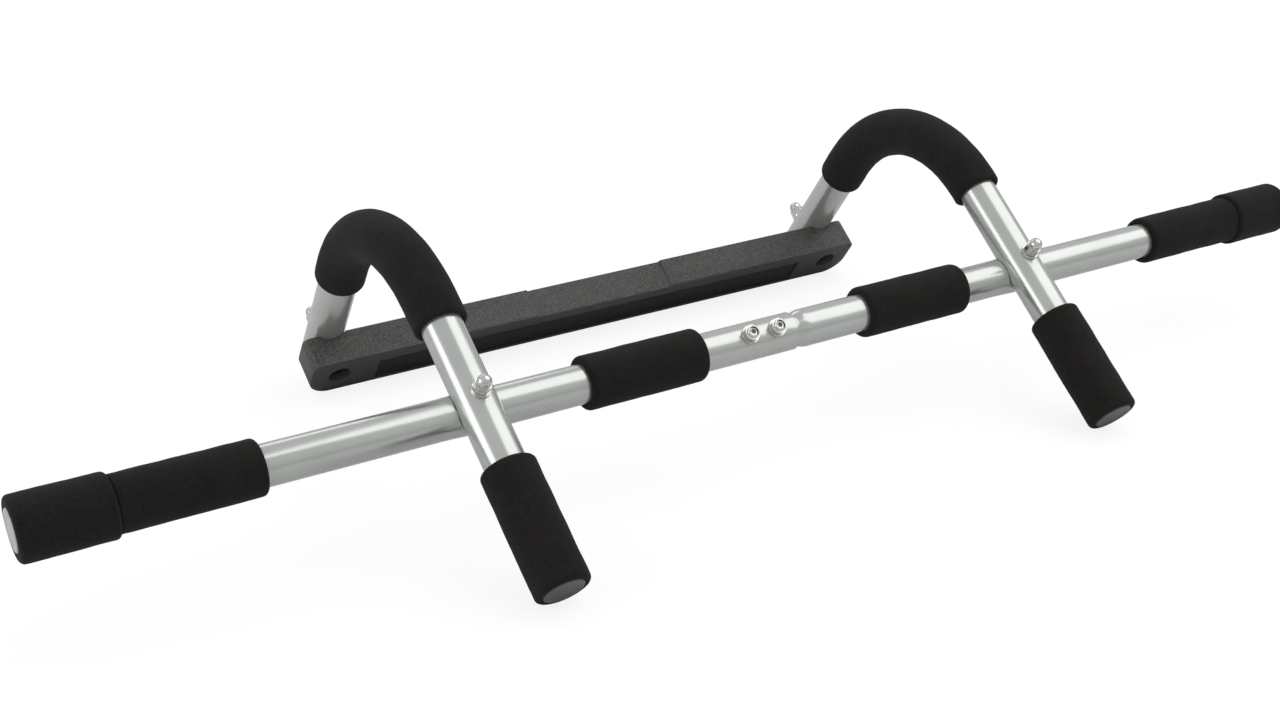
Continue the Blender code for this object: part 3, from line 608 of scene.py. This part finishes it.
foam = {
    "slack": 0.0003,           # between a sleeve and its tube
    "edge": 0.0030,            # rounding of the ends
    "tucked": 0.0006,          # the same where a sleeve runs up against the next one
    "mouth": 0.0008,           # rounding inside the ends
    "tuckedMouth": 0.0004,
    "bendEdge": 0.0021, "bendMouth": 0.0014,
    "edgeSteps": 7, "mouthSteps": 5,
    "endWall": 0.0062, "outerWall": 0.0040, "innerWall": 0.0044,
    "handleWall": 0.0042, "bendWall": 0.0037,
    "pitch": 0.0022,
    "segments": 88,
    "lumpSize": 0.013, "lump": 0.00028,
    "rippleSize": 0.0032, "ripple": 0.00007,
    "still": 0.1,              # share of the wall, from the bore, that keeps its shape
    "seeds": {"end": 0.31, "outer": 0.57, "inner": 0.83, "handle": 1.13, "bend": 1.49},
}

sleeves = {
    "overPlug": 0.0025,        # how far a sleeve reaches over a plug's head
    "endLength": 0.0530,
    "endGap": 0.0003,          # between the end sleeve and the next one
    "outerLength": {"left": 0.0816, "right": 0.0870},
    "innerLength": 0.0840,
    "innerMiddle": {"left": -0.0940, "right": 0.1175},
    "handleLength": 0.0828,
    "bendLead": {"left": 0.0145, "right": 0.0050},    # covered before the bend
    "bendTail": {"left": 0.0130, "right": 0.0185},    # covered after it
}


def foamShape(tubeRadius, wall, start, stop, seed, edges=None, mouth=foam["mouth"]):
    bore = tubeRadius + foam["slack"]
    radius = bore + wall
    first, last = edges or (foam["edge"], foam["edge"])
    edgeSteps, mouthSteps = foam["edgeSteps"], foam["mouthSteps"]
    stations = stationsBetween(start + first, stop - last, foam["pitch"])
    profile = arcPoints((radius - first, start + first), first, -quarterTurn, 0, edgeSteps)[:-1]
    profile += [(radius, height) for height in stations]
    profile += arcPoints((radius - last, stop - last), last, 0, quarterTurn, edgeSteps)[1:]
    profile += arcPoints((bore + mouth, stop - mouth), mouth, quarterTurn, math.pi, mouthSteps)
    profile += [(bore, height) for height in reversed(stations[1:-1])]
    profile += arcPoints((bore + mouth, start + mouth), mouth, math.pi, 3 * quarterTurn, mouthSteps)
    shape = turnedShape(profile, foam["segments"])
    for point in shape.verts:
        out = math.hypot(point.co.x, point.co.y)
        if out < bore + wall * foam["still"]:
            continue
        spot = point.co + Vector((seed, 2 * seed, 3 * seed))
        swell = foam["lump"] * noise.noise(spot / foam["lumpSize"])
        swell += foam["ripple"] * noise.noise(spot / foam["rippleSize"])
        swell *= min(1.0, (out - bore) / wall)
        point.co.x *= 1 + swell / out
        point.co.y *= 1 + swell / out
    return shape


def finishFoam(node, shape, at=unturned):
    piece = finishPiece(node, shape, "black_foam", at)


def makeFoams():
    barRadius, armRadius = tubes["barRadius"], tubes["armRadius"]
    endStop = tubes["barHalf"] + sleeves["overPlug"]
    endStart = endStop - sleeves["endLength"]
    for number, (side, sign) in enumerate(sides.items()):
        seeds = {name: seed + number for name, seed in foam["seeds"].items()}
        outward = Matrix.Rotation(sign * quarterTurn, 4, "Y")
        armX = armMiddles[side]
        shape = foamShape(barRadius, foam["endWall"], endStart, endStop, seeds["end"])
        finishFoam("end_foam_" + side, shape, outward)
        outerStop = endStart - sleeves["endGap"]
        shape = foamShape(barRadius, foam["outerWall"], outerStop - sleeves["outerLength"][side],
                          outerStop, seeds["outer"], (foam["edge"], foam["tucked"]),
                          foam["tuckedMouth"])
        finishFoam("outer_grip_" + side, shape, outward)
        middle = sleeves["innerMiddle"][side]
        shape = foamShape(barRadius, foam["innerWall"], middle - sleeves["innerLength"] / 2,
                          middle + sleeves["innerLength"] / 2, seeds["inner"])
        finishFoam("inner_grip_" + side, shape, alongX)
        handleStart = tubes["handleEnd"] - sleeves["overPlug"]
        shape = foamShape(armRadius, foam["handleWall"], handleStart,
                          handleStart + sleeves["handleLength"], seeds["handle"])
        at = Matrix.Translation((armX, 0, tubes["rise"])) @ alongY
        finishFoam("handle_grip_" + side, shape, at)
        shape = foamShape(armRadius, foam["bendWall"], tubes["reach"] - sleeves["bendLead"][side],
                          tubes["bendStop"] + sleeves["bendTail"][side], seeds["bend"],
                          (foam["bendEdge"], foam["bendEdge"]), foam["bendMouth"])
        bendAlongArm(shape, armX)
        finishFoam("bend_foam_" + side, shape)


makeFoams()
print("foam sleeves made")


# Plugs in the tubes' ends

plugs = {
    "headGap": 0.0003,
    "edge": 0.0010, "edgeSteps": 5,
    "dish": 0.0006,            # hollow of the face inside its rim
    "rim": 0.0022,
    "stem": 0.0150, "legStem": 0.0082, "stemWall": 0.0020, "fit": 0.0003,
    "segments": 72,
}


def plugShape(tubeRadius, reach):
    # Head over Z = 0, stem down inside the tube
    gap, head, edge, dish = plugs["headGap"], tubes["plugHead"], plugs["edge"], plugs["dish"]
    stem = tubeRadius - tubes["wall"] - plugs["fit"]
    hollow = stem - plugs["stemWall"]
    profile = [(0, gap), (hollow, gap), (hollow, -reach), (stem - edge / 2, -reach)]
    profile += [(stem, edge - reach), (stem, gap), (tubeRadius, gap)]
    profile += arcPoints((tubeRadius - edge, head - edge), edge, 0, quarterTurn,
                         plugs["edgeSteps"])
    inner = tubeRadius - edge - plugs["rim"]
    profile += [(inner + dish, head), (inner, head - dish / 2), (inner - dish, head - dish)]
    profile += [(inner / 2, head - dish), (0, head - dish)]
    return turnedShape(profile, plugs["segments"], closed=False)


def makePlugs():
    for side, sign in sides.items():
        armX = armMiddles[side]
        outward = Matrix.Rotation(sign * quarterTurn, 4, "Y")
        at = Matrix.Translation((sign * tubes["barHalf"], 0, 0)) @ outward
        shape = plugShape(tubes["barRadius"], plugs["stem"])
        finishPiece("bar_plug_" + side, shape, "grey_plug", at)
        # Painted shade: the handle plugs take the darker copy of the plug plastic
        at = Matrix.Translation((armX, tubes["handleEnd"], tubes["rise"])) @ towardsFront
        shape = plugShape(tubes["armRadius"], plugs["stem"])
        finishPiece("handle_plug_" + side, shape, "grey_plug", at, finish=shadedHandlePlugFinish)
        legEnd = tubes["legTopZ"] - tubes["legLength"]
        at = Matrix.Translation((armX, tubes["legY"], legEnd)) @ upsideDown
        shape = plugShape(tubes["armRadius"], plugs["legStem"])
        finishPiece("leg_plug_" + side, shape, "grey_plug", at)


makePlugs()
print("plugs made")


# Bolts, nuts and washers

hardware = {
    "boltRadius": 0.0030, "hole": 0.0033,
    "lift": 0.0006,            # the washer's two gaps together
    "washerRadius": 0.0060, "washer": 0.0014, "washerEdge": 0.0002, "washerRings": 4,
    "washerBend": 0.9,         # share of the tube's curve that the underside takes on
    "headRadius": 0.0065, "headHeight": 0.0033, "headRim": 0.0004, "headEase": 0.0003,
    "headSteps": 9, "headFullness": 0.8,
    "flats": 0.0100, "chamfer": 0.0006, "cornerEase": 0.0001, "hexHead": 0.0040,
    "nutBase": 0.0052, "domeRadius": 0.0046, "domeSteps": 14, "nutHeight": 0.0116,
    "thread": 0.0085, "inNut": 0.0075,
    "lockBase": 0.0032, "collar": 0.0043, "collarEdge": 0.0010, "collarSteps": 6,
    "lockHeight": 0.0048, "sink": 0.0006,
    "cutRadius": 0.0017, "cutDish": 0.0003,
    "turn": math.radians(9), "jointBolts": (-0.0180, 0.0025),
    "flatsAngle": 28,          # degrees between faces from which an edge is sharp
    "segments": 60,
}
hexCorner = hardware["flats"] / 2 / math.cos(math.radians(30))
blankRadius = hexCorner - hardware["cornerEase"]


def hexShape(profile, closed):
    # A turned blank cut down to six flats, so that the corners are rounded off as on a real nut
    blank = turnedShape(profile, hardware["segments"], closed)
    column = bmesh.new()
    bmesh.ops.create_cone(column, cap_ends=True, segments=6, radius1=hexCorner,
                          radius2=hexCorner, depth=0.2)
    return cutShape(blank, [column], "INTERSECT")


def hexBase(height):
    # Outline of the six-sided part, chamfered above and below
    chamfer = hardware["chamfer"]
    return [(blankRadius - chamfer, 0), (blankRadius, chamfer), (blankRadius, height - chamfer),
            (blankRadius - chamfer, height)]


def capNutShape():
    thread, dome = hardware["thread"], hardware["domeRadius"]
    top = hardware["nutHeight"]
    profile = [(0, thread), (hardware["hole"], thread), (hardware["hole"], 0)]
    profile += hexBase(hardware["nutBase"]) + [(dome, hardware["nutBase"])]
    profile += arcPoints((0, top - dome), dome, 0, quarterTurn, hardware["domeSteps"])[:-1]
    profile += [(0, top)]
    return hexShape(profile, closed=False)


def lockNutShape():
    collar, edge, top = hardware["collar"], hardware["collarEdge"], hardware["lockHeight"]
    profile = [(hardware["hole"], 0)] + hexBase(hardware["lockBase"])
    profile += [(collar, hardware["lockBase"])]
    profile += arcPoints((collar - edge, top - edge), edge, 0, quarterTurn, hardware["collarSteps"])
    profile += [(hardware["hole"], top)]
    return hexShape(profile, closed=True)


def boltProfile(length, head):
    radius, chamfer = hardware["boltRadius"], hardware["chamfer"]
    cutHeight = length - hardware["cutDish"]
    profile = [(0, -head[-1][1])] + [(out, -drop) for out, drop in reversed(head)]
    profile += [(radius, 0), (radius, length - chamfer), (radius - chamfer, length)]
    profile += [(hardware["cutRadius"], cutHeight), (0, cutHeight)]
    return profile


def markCutEnd(shape, height):
    # The middle of the bolt's end is made darker and rougher
    cutMark = shape.faces.layers.float.new("cut")
    for face in shape.faces:
        place = face.calc_center_median()
        if place.z > height and math.hypot(place.x, place.y) < hardware["cutRadius"]:
            face[cutMark] = 1.0


def roundBoltShape(length):
    # Low domed head under Z = 0
    radius, rim = hardware["headRadius"], hardware["headRim"]
    head = [(radius - hardware["headEase"], 0), (radius, rim)]
    for step in range(1, hardware["headSteps"]):
        angle = quarterTurn * step / hardware["headSteps"]
        head.append((radius * math.cos(angle) ** hardware["headFullness"],
                     rim + (hardware["headHeight"] - rim) * math.sin(angle)))
    shape = turnedShape(boltProfile(length, head), hardware["segments"], closed=False)
    markCutEnd(shape, length - hardware["chamfer"])
    return shape


def hexBoltShape(length):
    head = [(blankRadius, 0)] + hexBase(hardware["hexHead"])[2:]
    return hexShape(boltProfile(length, head), closed=False)


def washerShape(tubeRadius=None):
    # Flat on top; the underside follows the tube it lies on
    hole, rim, thick = hardware["hole"], hardware["washerRadius"], hardware["washer"]
    edge, rings = hardware["washerEdge"], hardware["washerRings"]
    profile = [(hole + (rim - hole) * ring / rings, 0) for ring in range(rings + 1)]
    profile += [(rim, edge), (rim, thick - edge), (rim - edge, thick), (hole, thick)]
    shape = turnedShape(profile, hardware["segments"])
    if tubeRadius:
        for point in shape.verts:
            if point.co.z < thick / 2:
                fall = tubeRadius - math.sqrt(tubeRadius ** 2 - point.co.y ** 2)
                point.co.z -= fall * hardware["washerBend"]
    return shape


def zincPiece(node, shape, at, *details, **named):
    finishPiece(node, shape, "bright_zinc", at, *details, **named)


def makeJointHardware():
    barRadius, gap = tubes["barRadius"], hardware["lift"] / 2
    seat = barRadius + hardware["washer"] + hardware["lift"]
    length = 2 * seat + hardware["lockHeight"] - hardware["sink"]
    tilt = Matrix.Rotation(hardware["turn"], 4, "X")
    for number, x in enumerate(hardware["jointBolts"], start=1):
        below = tilt @ Matrix.Translation((x, 0, -seat))
        above = tilt @ Matrix.Translation((x, 0, seat))
        onBar = tilt @ Matrix.Translation((x, 0, barRadius + gap))
        underBar = tilt @ Matrix.Translation((x, 0, -barRadius - gap)) @ upsideDown
        zincPiece(f"joint_bolt_{number}", roundBoltShape(length), below)
        zincPiece(f"joint_nut_{number}", lockNutShape(), above, hardware["flatsAngle"])
        zincPiece(f"joint_washer_{number}", washerShape(barRadius), onBar)
        zincPiece(f"joint_head_washer_{number}", washerShape(barRadius), underBar)


def makeArmHardware(side, x):
    barRadius, gap = tubes["barRadius"], hardware["lift"] / 2
    lift = hardware["washer"] + hardware["lift"]
    top = tubes["rise"] + tubes["armRadius"]
    length = barRadius + top + 2 * lift + hardware["inNut"]
    acrossArm = Matrix.Rotation(quarterTurn, 4, "Z")
    below = Matrix.Translation((x, 0, -barRadius - lift))
    above = Matrix.Translation((x, 0, top + lift))
    onArm = Matrix.Translation((x, 0, top + gap)) @ acrossArm
    underBar = Matrix.Translation((x, 0, -barRadius - gap)) @ upsideDown
    zincPiece("arm_bolt_" + side, roundBoltShape(length), below)
    zincPiece("arm_nut_" + side, capNutShape(), above, hardware["flatsAngle"])
    zincPiece("arm_washer_" + side, washerShape(tubes["armRadius"]), onArm)
    zincPiece("arm_head_washer_" + side, washerShape(barRadius), underBar)


def makeBraceHardware(side, x):
    gap = hardware["lift"] / 2
    lift = hardware["washer"] + hardware["lift"]
    seat = braceFront + brace["counterbore"]
    back = tubes["legY"] + tubes["armRadius"]
    length = back - seat + 2 * lift + hardware["inNut"]
    acrossLeg = Matrix.Rotation(quarterTurn, 4, "Z")
    inFront = Matrix.Translation((x, seat - lift, braceBoltZ)) @ alongY
    inBore = Matrix.Translation((x, seat - gap, braceBoltZ)) @ towardsFront
    onLeg = Matrix.Translation((x, back + gap, braceBoltZ)) @ alongY @ acrossLeg
    behind = Matrix.Translation((x, back + lift, braceBoltZ)) @ alongY
    # Painted shade: the bolt and washer inside each counterbore take the darker zinc copy
    zincPiece("brace_bolt_" + side, hexBoltShape(length), inFront, hardware["flatsAngle"],
              shadedZincFinish)
    zincPiece("brace_washer_" + side, washerShape(), inBore, finish=shadedZincFinish)
    zincPiece("brace_back_washer_" + side, washerShape(tubes["armRadius"]), onLeg)
    zincPiece("brace_nut_" + side, capNutShape(), behind, hardware["flatsAngle"])


# Brace and its pad

brace = {
    "height": 0.0385, "depth": 0.0238, "overhang": 0.0212,
    "edge": 0.0013, "edgeSteps": 4,
    "corner": 0.0170, "cornerSteps": 12, "topCorner": 0.0060, "topSteps": 6,
    "waist": 0.1140, "waistDrop": 0.0020, "waistSlope": 0.0012,
    "boltBelowTop": 0.0190, "hole": 0.0083, "counterbore": 0.0105, "boltHole": 0.0033,
    "saddleSlack": 0.0004,
    "pockets": 8, "rib": 0.0030, "wall": 0.0030, "pocketEnd": 0.0240,
    "cutPast": 0.010,          # how far a cutter runs past what it cuts
    "holeSegments": 72,
    "softEdge": 0.0006, "softSteps": 2,
    "sharpAngle": 40,          # degrees between faces from which an edge is softened
    "topTilt": 0.55, "endTilt": 0.45, "frontTilt": 0.7,     # where the grain stops
    "paintedHighlightTilt": (0.2, 0.98),   # the rounded top edge of the front, which gets a painted highlight
    "weld": 0.00001,
}
pad = {
    "inset": 0.0293, "height": 0.0235, "belowTop": 0.0120, "thickness": 0.0040,
    "recess": 0.0050, "gap": 0.0003, "edge": 0.0008, "edgeSteps": 4,
}
braceFront = (toArmFrame @ Vector(mounts["brace_wall_face"]["pos_m"])).y
braceBottom = (toArmFrame @ Vector(mounts["brace_ledge_face"]["pos_m"])).z
braceTop = braceBottom + brace["height"]
braceBack = braceFront + brace["depth"]
braceBoltZ = braceTop - brace["boltBelowTop"]


def boxBetween(low, high):
    shape = bmesh.new()
    low, high = Vector(low), Vector(high)
    spread = Matrix.Translation((low + high) / 2) @ Matrix.Diagonal((*(high - low), 1))
    bmesh.ops.create_cube(shape, size=1, matrix=spread)
    return shape


def rodShape(radius, low, high, at, turn=unturned):
    profile = [(0, low), (radius, low), (radius, high), (0, high)]
    shape = turnedShape(profile, brace["holeSegments"], closed=False)
    shape.transform(Matrix.Translation(at) @ turn)
    return shape


def braceBlank():
    half = tubes["armSpacing"] / 2 + brace["overhang"]
    corner, top = brace["corner"], brace["topCorner"]
    right = arcPoints((half - corner, braceBottom + corner), corner, -quarterTurn, 0,
                      brace["cornerSteps"])
    right += arcPoints((half - top, braceTop - top), top, 0, quarterTurn, brace["topSteps"])
    middle = brace["waist"] / 2
    right += [(middle + brace["waistSlope"] / 2, braceTop)]
    right += [(middle - brace["waistSlope"] / 2, braceTop - brace["waistDrop"])]
    outline = right + [(-x, z) for x, z in reversed(right)]
    shape = bmesh.new()
    face = shape.faces.new([shape.verts.new((x, braceFront, z)) for x, z in outline])
    grown = bmesh.ops.extrude_face_region(shape, geom=[face], use_keep_orig=True)["geom"]
    points = [item for item in grown if isinstance(item, bmesh.types.BMVert)]
    bmesh.ops.translate(shape, verts=points, vec=(0, brace["depth"], 0))
    rims = [rim for rim in shape.edges if abs(rim.verts[0].co.y - rim.verts[1].co.y) < sameSpot]
    roundEdges(shape, rims, brace["edge"], brace["edgeSteps"])
    return shape


def braceCutters():
    cutters = []
    past = brace["cutPast"]
    run = tubes["armSpacing"] - 2 * brace["pocketEnd"]
    pitch = (run + brace["rib"]) / brace["pockets"]
    deep = braceFront + pad["recess"] + brace["wall"]
    ceiling = braceTop - brace["waistDrop"] - brace["wall"]
    for number in range(brace["pockets"]):
        start = -run / 2 + number * pitch
        cutters.append(boxBetween((start, deep, braceBottom + brace["wall"]),
                                  (start + pitch - brace["rib"], braceBack + past, ceiling)))
    padHalf = tubes["armSpacing"] / 2 - pad["inset"] + pad["gap"]
    padTop = braceTop - pad["belowTop"] + pad["gap"]
    padBottom = padTop - pad["height"] - 2 * pad["gap"]
    cutters.append(boxBetween((-padHalf, braceFront - past, padBottom),
                              (padHalf, braceFront + pad["recess"], padTop)))
    for x in armMiddles.values():
        seat = tubes["armRadius"] + brace["saddleSlack"]
        cutters.append(rodShape(seat, braceBottom - past, braceTop + past, (x, tubes["legY"], 0)))
        cutters.append(rodShape(brace["hole"], -past, brace["counterbore"],
                                (x, braceFront, braceBoltZ), alongY))
        cutters.append(rodShape(brace["boltHole"], -past, 2 * brace["depth"],
                                (x, braceFront, braceBoltZ), alongY))
    return cutters


def markGrain(shape):
    # The mould is grained over the top and round both ends, not in the holes or on the front
    half = tubes["armSpacing"] / 2 + brace["overhang"]
    deepest = brace["waistDrop"] + brace["edge"]
    grainMark = shape.faces.layers.float.new("grained")
    shape.normal_update()
    for face in shape.faces:
        place = face.calc_center_median()
        onTop = face.normal.z > brace["topTilt"] and place.z > braceTop - deepest
        atEnd = abs(face.normal.x) > brace["endTilt"] and abs(place.x) > half - brace["corner"]
        if onTop or (atEnd and abs(face.normal.y) < brace["frontTilt"]):
            face[grainMark] = 1.0


def makeBrace():
    shape = cutShape(braceBlank(), braceCutters(), "DIFFERENCE", brace["weld"])
    sharpAngle = math.radians(brace["sharpAngle"])
    sharp = [rim for rim in shape.edges
             if len(rim.link_faces) == 2 and rim.calc_face_angle(0) > sharpAngle]
    wearAndHighlightMark = shape.faces.layers.float.new("wear")
    softened = roundEdges(shape, sharp, brace["softEdge"], brace["softSteps"])
    for face in softened["faces"]:
        face[wearAndHighlightMark] = 1.0
    markGrain(shape)
    # Painted highlight: faces on the front's rounded top edge also get the lighter edge colour
    low, high = brace["paintedHighlightTilt"]
    for face in shape.faces:
        onFrontEdge = face.calc_center_median().y < braceFront + brace["edge"]
        if onFrontEdge and low < face.normal.z < high:
            face[wearAndHighlightMark] = 1.0
    finishPiece("brace_body", shape, "grey_plastic", smoothAngle=30)


def makePad():
    half = tubes["armSpacing"] / 2 - pad["inset"]
    top = braceTop - pad["belowTop"]
    back = braceFront + pad["recess"] - pad["gap"]
    shape = boxBetween((-half, back - pad["thickness"], top - pad["height"]), (half, back, top))
    roundEdges(shape, shape.edges[:], pad["edge"], pad["edgeSteps"])
    piece = finishPiece("brace_pad", shape, "black_rubber")


makeJointHardware()
for side, armX in armMiddles.items():
    makeArmHardware(side, armX)
    makeBraceHardware(side, armX)
print("bolts, nuts and washers made")
makeBrace()
makePad()
print("brace and pad made")


# Floor, light and camera

studio = {
    "floorSize": 30.0, "floorBounce": 0.70, "floorGlow": 0.84, "floorShade": 0.22,
    "worldShown": (1.0, 1.0, 1.0, 1), "zenith": (0.58, 0.59, 0.59, 1),
    "horizon": (0.42, 0.43, 0.425, 1),
    "rampStart": 0.02, "rampStop": 0.45,
}
lamps = {                      # place, aim, width, height, radiance
    "keySoftbox": ((1.05, -0.40, 1.60), (0, 0, 0.05), 1.8, 1.8, 1.12),
    "leftSoftbox": ((-1.95, 0.10, 0.60), (0, 0, 0.10), 1.3, 1.1, 1.70),
    "backSoftbox": ((0.10, 1.90, 1.30), (0, 0, 0.05), 1.6, 0.6, 1.00),
}


def makeFloor():
    shape = bmesh.new()
    bmesh.ops.create_grid(shape, x_segments=1, y_segments=1, size=studio["floorSize"])
    floor = addObject("floor", meshFrom("floor", shape))
    material = bpy.data.materials.new("floor")
    material.use_nodes = True
    tree = material.node_tree
    link = tree.links.new
    tree.nodes.clear()
    out = addNode(tree, "ShaderNodeOutputMaterial")
    bounce = addNode(tree, "ShaderNodeBsdfDiffuse", {"Color": (*[studio["floorBounce"]] * 3, 1)})
    shade = addNode(tree, "ShaderNodeBsdfDiffuse", {"Color": (*[studio["floorShade"]] * 3, 1)})
    glow = addNode(tree, "ShaderNodeEmission", {"Strength": studio["floorGlow"]})
    pale = addNode(tree, "ShaderNodeAddShader")
    seen = addNode(tree, "ShaderNodeLightPath")
    mix = addNode(tree, "ShaderNodeMixShader")
    link(shade.outputs["BSDF"], pale.inputs[0])
    link(glow.outputs["Emission"], pale.inputs[1])
    link(seen.outputs["Is Camera Ray"], mix.inputs["Fac"])
    link(bounce.outputs["BSDF"], mix.inputs[1])
    link(pale.outputs["Shader"], mix.inputs[2])
    link(mix.outputs["Shader"], out.inputs["Surface"])
    floor.data.materials.append(material)


def makeWorld():
    world = bpy.data.worlds.new("studio")
    bpy.context.scene.world = world
    world.use_nodes = True
    tree = world.node_tree
    tree.nodes.clear()
    link = tree.links.new
    out = addNode(tree, "ShaderNodeOutputWorld")
    shown = addNode(tree, "ShaderNodeBackground", {"Color": studio["worldShown"]})
    lit = addNode(tree, "ShaderNodeBackground")
    path = addNode(tree, "ShaderNodeLightPath")
    mix = addNode(tree, "ShaderNodeMixShader")
    way = addNode(tree, "ShaderNodeTexCoord")
    parts = addNode(tree, "ShaderNodeSeparateXYZ")
    ramp = addNode(tree, "ShaderNodeMapRange", interpolation_type="SMOOTHSTEP")
    ramp.inputs["From Min"].default_value = studio["rampStart"]
    ramp.inputs["From Max"].default_value = studio["rampStop"]
    colour = addNode(tree, "ShaderNodeMix",
                     {"A": studio["horizon"], "B": studio["zenith"]}, data_type="RGBA")
    link(way.outputs["Generated"], parts.inputs["Vector"])
    link(parts.outputs["Z"], ramp.inputs["Value"])
    link(ramp.outputs["Result"], colour.inputs["Factor"])
    link(colour.outputs["Result"], lit.inputs["Color"])
    link(path.outputs["Is Camera Ray"], mix.inputs["Fac"])
    link(lit.outputs["Background"], mix.inputs[1])
    link(shown.outputs["Background"], mix.inputs[2])
    link(mix.outputs["Shader"], out.inputs["Surface"])


def makeLamps():
    for name, (place, aim, width, height, radiance) in lamps.items():
        light = bpy.data.lights.new(name, "AREA")
        light.shape = "RECTANGLE"
        light.size = width
        light.size_y = height
        light.energy = radiance * math.pi * width * height
        lamp = addObject(name, light)
        lamp.location = place
        lamp.rotation_euler = (Vector(aim) - Vector(place)).to_track_quat("-Z", "Y").to_euler()


view = {
    "fromBarMiddle": (-0.59348, -0.85375, 0.45852),
    "yaw": 32.367, "pitch": 27.823, "roll": 0.300,
    "lens": 49.10, "sensor": 36, "shiftX": -0.0440, "shiftY": 0.0773,
}


def makeCamera():
    yaw, pitch, roll = (math.radians(view[key]) for key in ("yaw", "pitch", "roll"))
    forward = Vector((math.sin(yaw) * math.cos(pitch), math.cos(yaw) * math.cos(pitch),
                      -math.sin(pitch)))
    right = Vector((math.cos(yaw), -math.sin(yaw), 0))
    up = right.cross(forward)
    tiltedRight = right * math.cos(roll) + up * math.sin(roll)
    tiltedUp = up * math.cos(roll) - right * math.sin(roll)
    turn = Matrix((tiltedRight, tiltedUp, -forward)).transposed().to_4x4()
    lens = bpy.data.cameras.new("camera")
    lens.sensor_width = view["sensor"]
    lens.lens = view["lens"]
    lens.shift_x = view["shiftX"]
    lens.shift_y = view["shiftY"]
    camera = addObject("camera", lens)
    place = Vector(view["fromBarMiddle"]) + Vector((0, barEndFace.y, barEndFace.z))
    camera.matrix_world = Matrix.Translation(place) @ turn
    bpy.context.scene.camera = camera


makeFloor()
makeWorld()
makeLamps()
makeCamera()
bpy.context.scene.view_settings.view_transform = "Standard"
print("studio made")
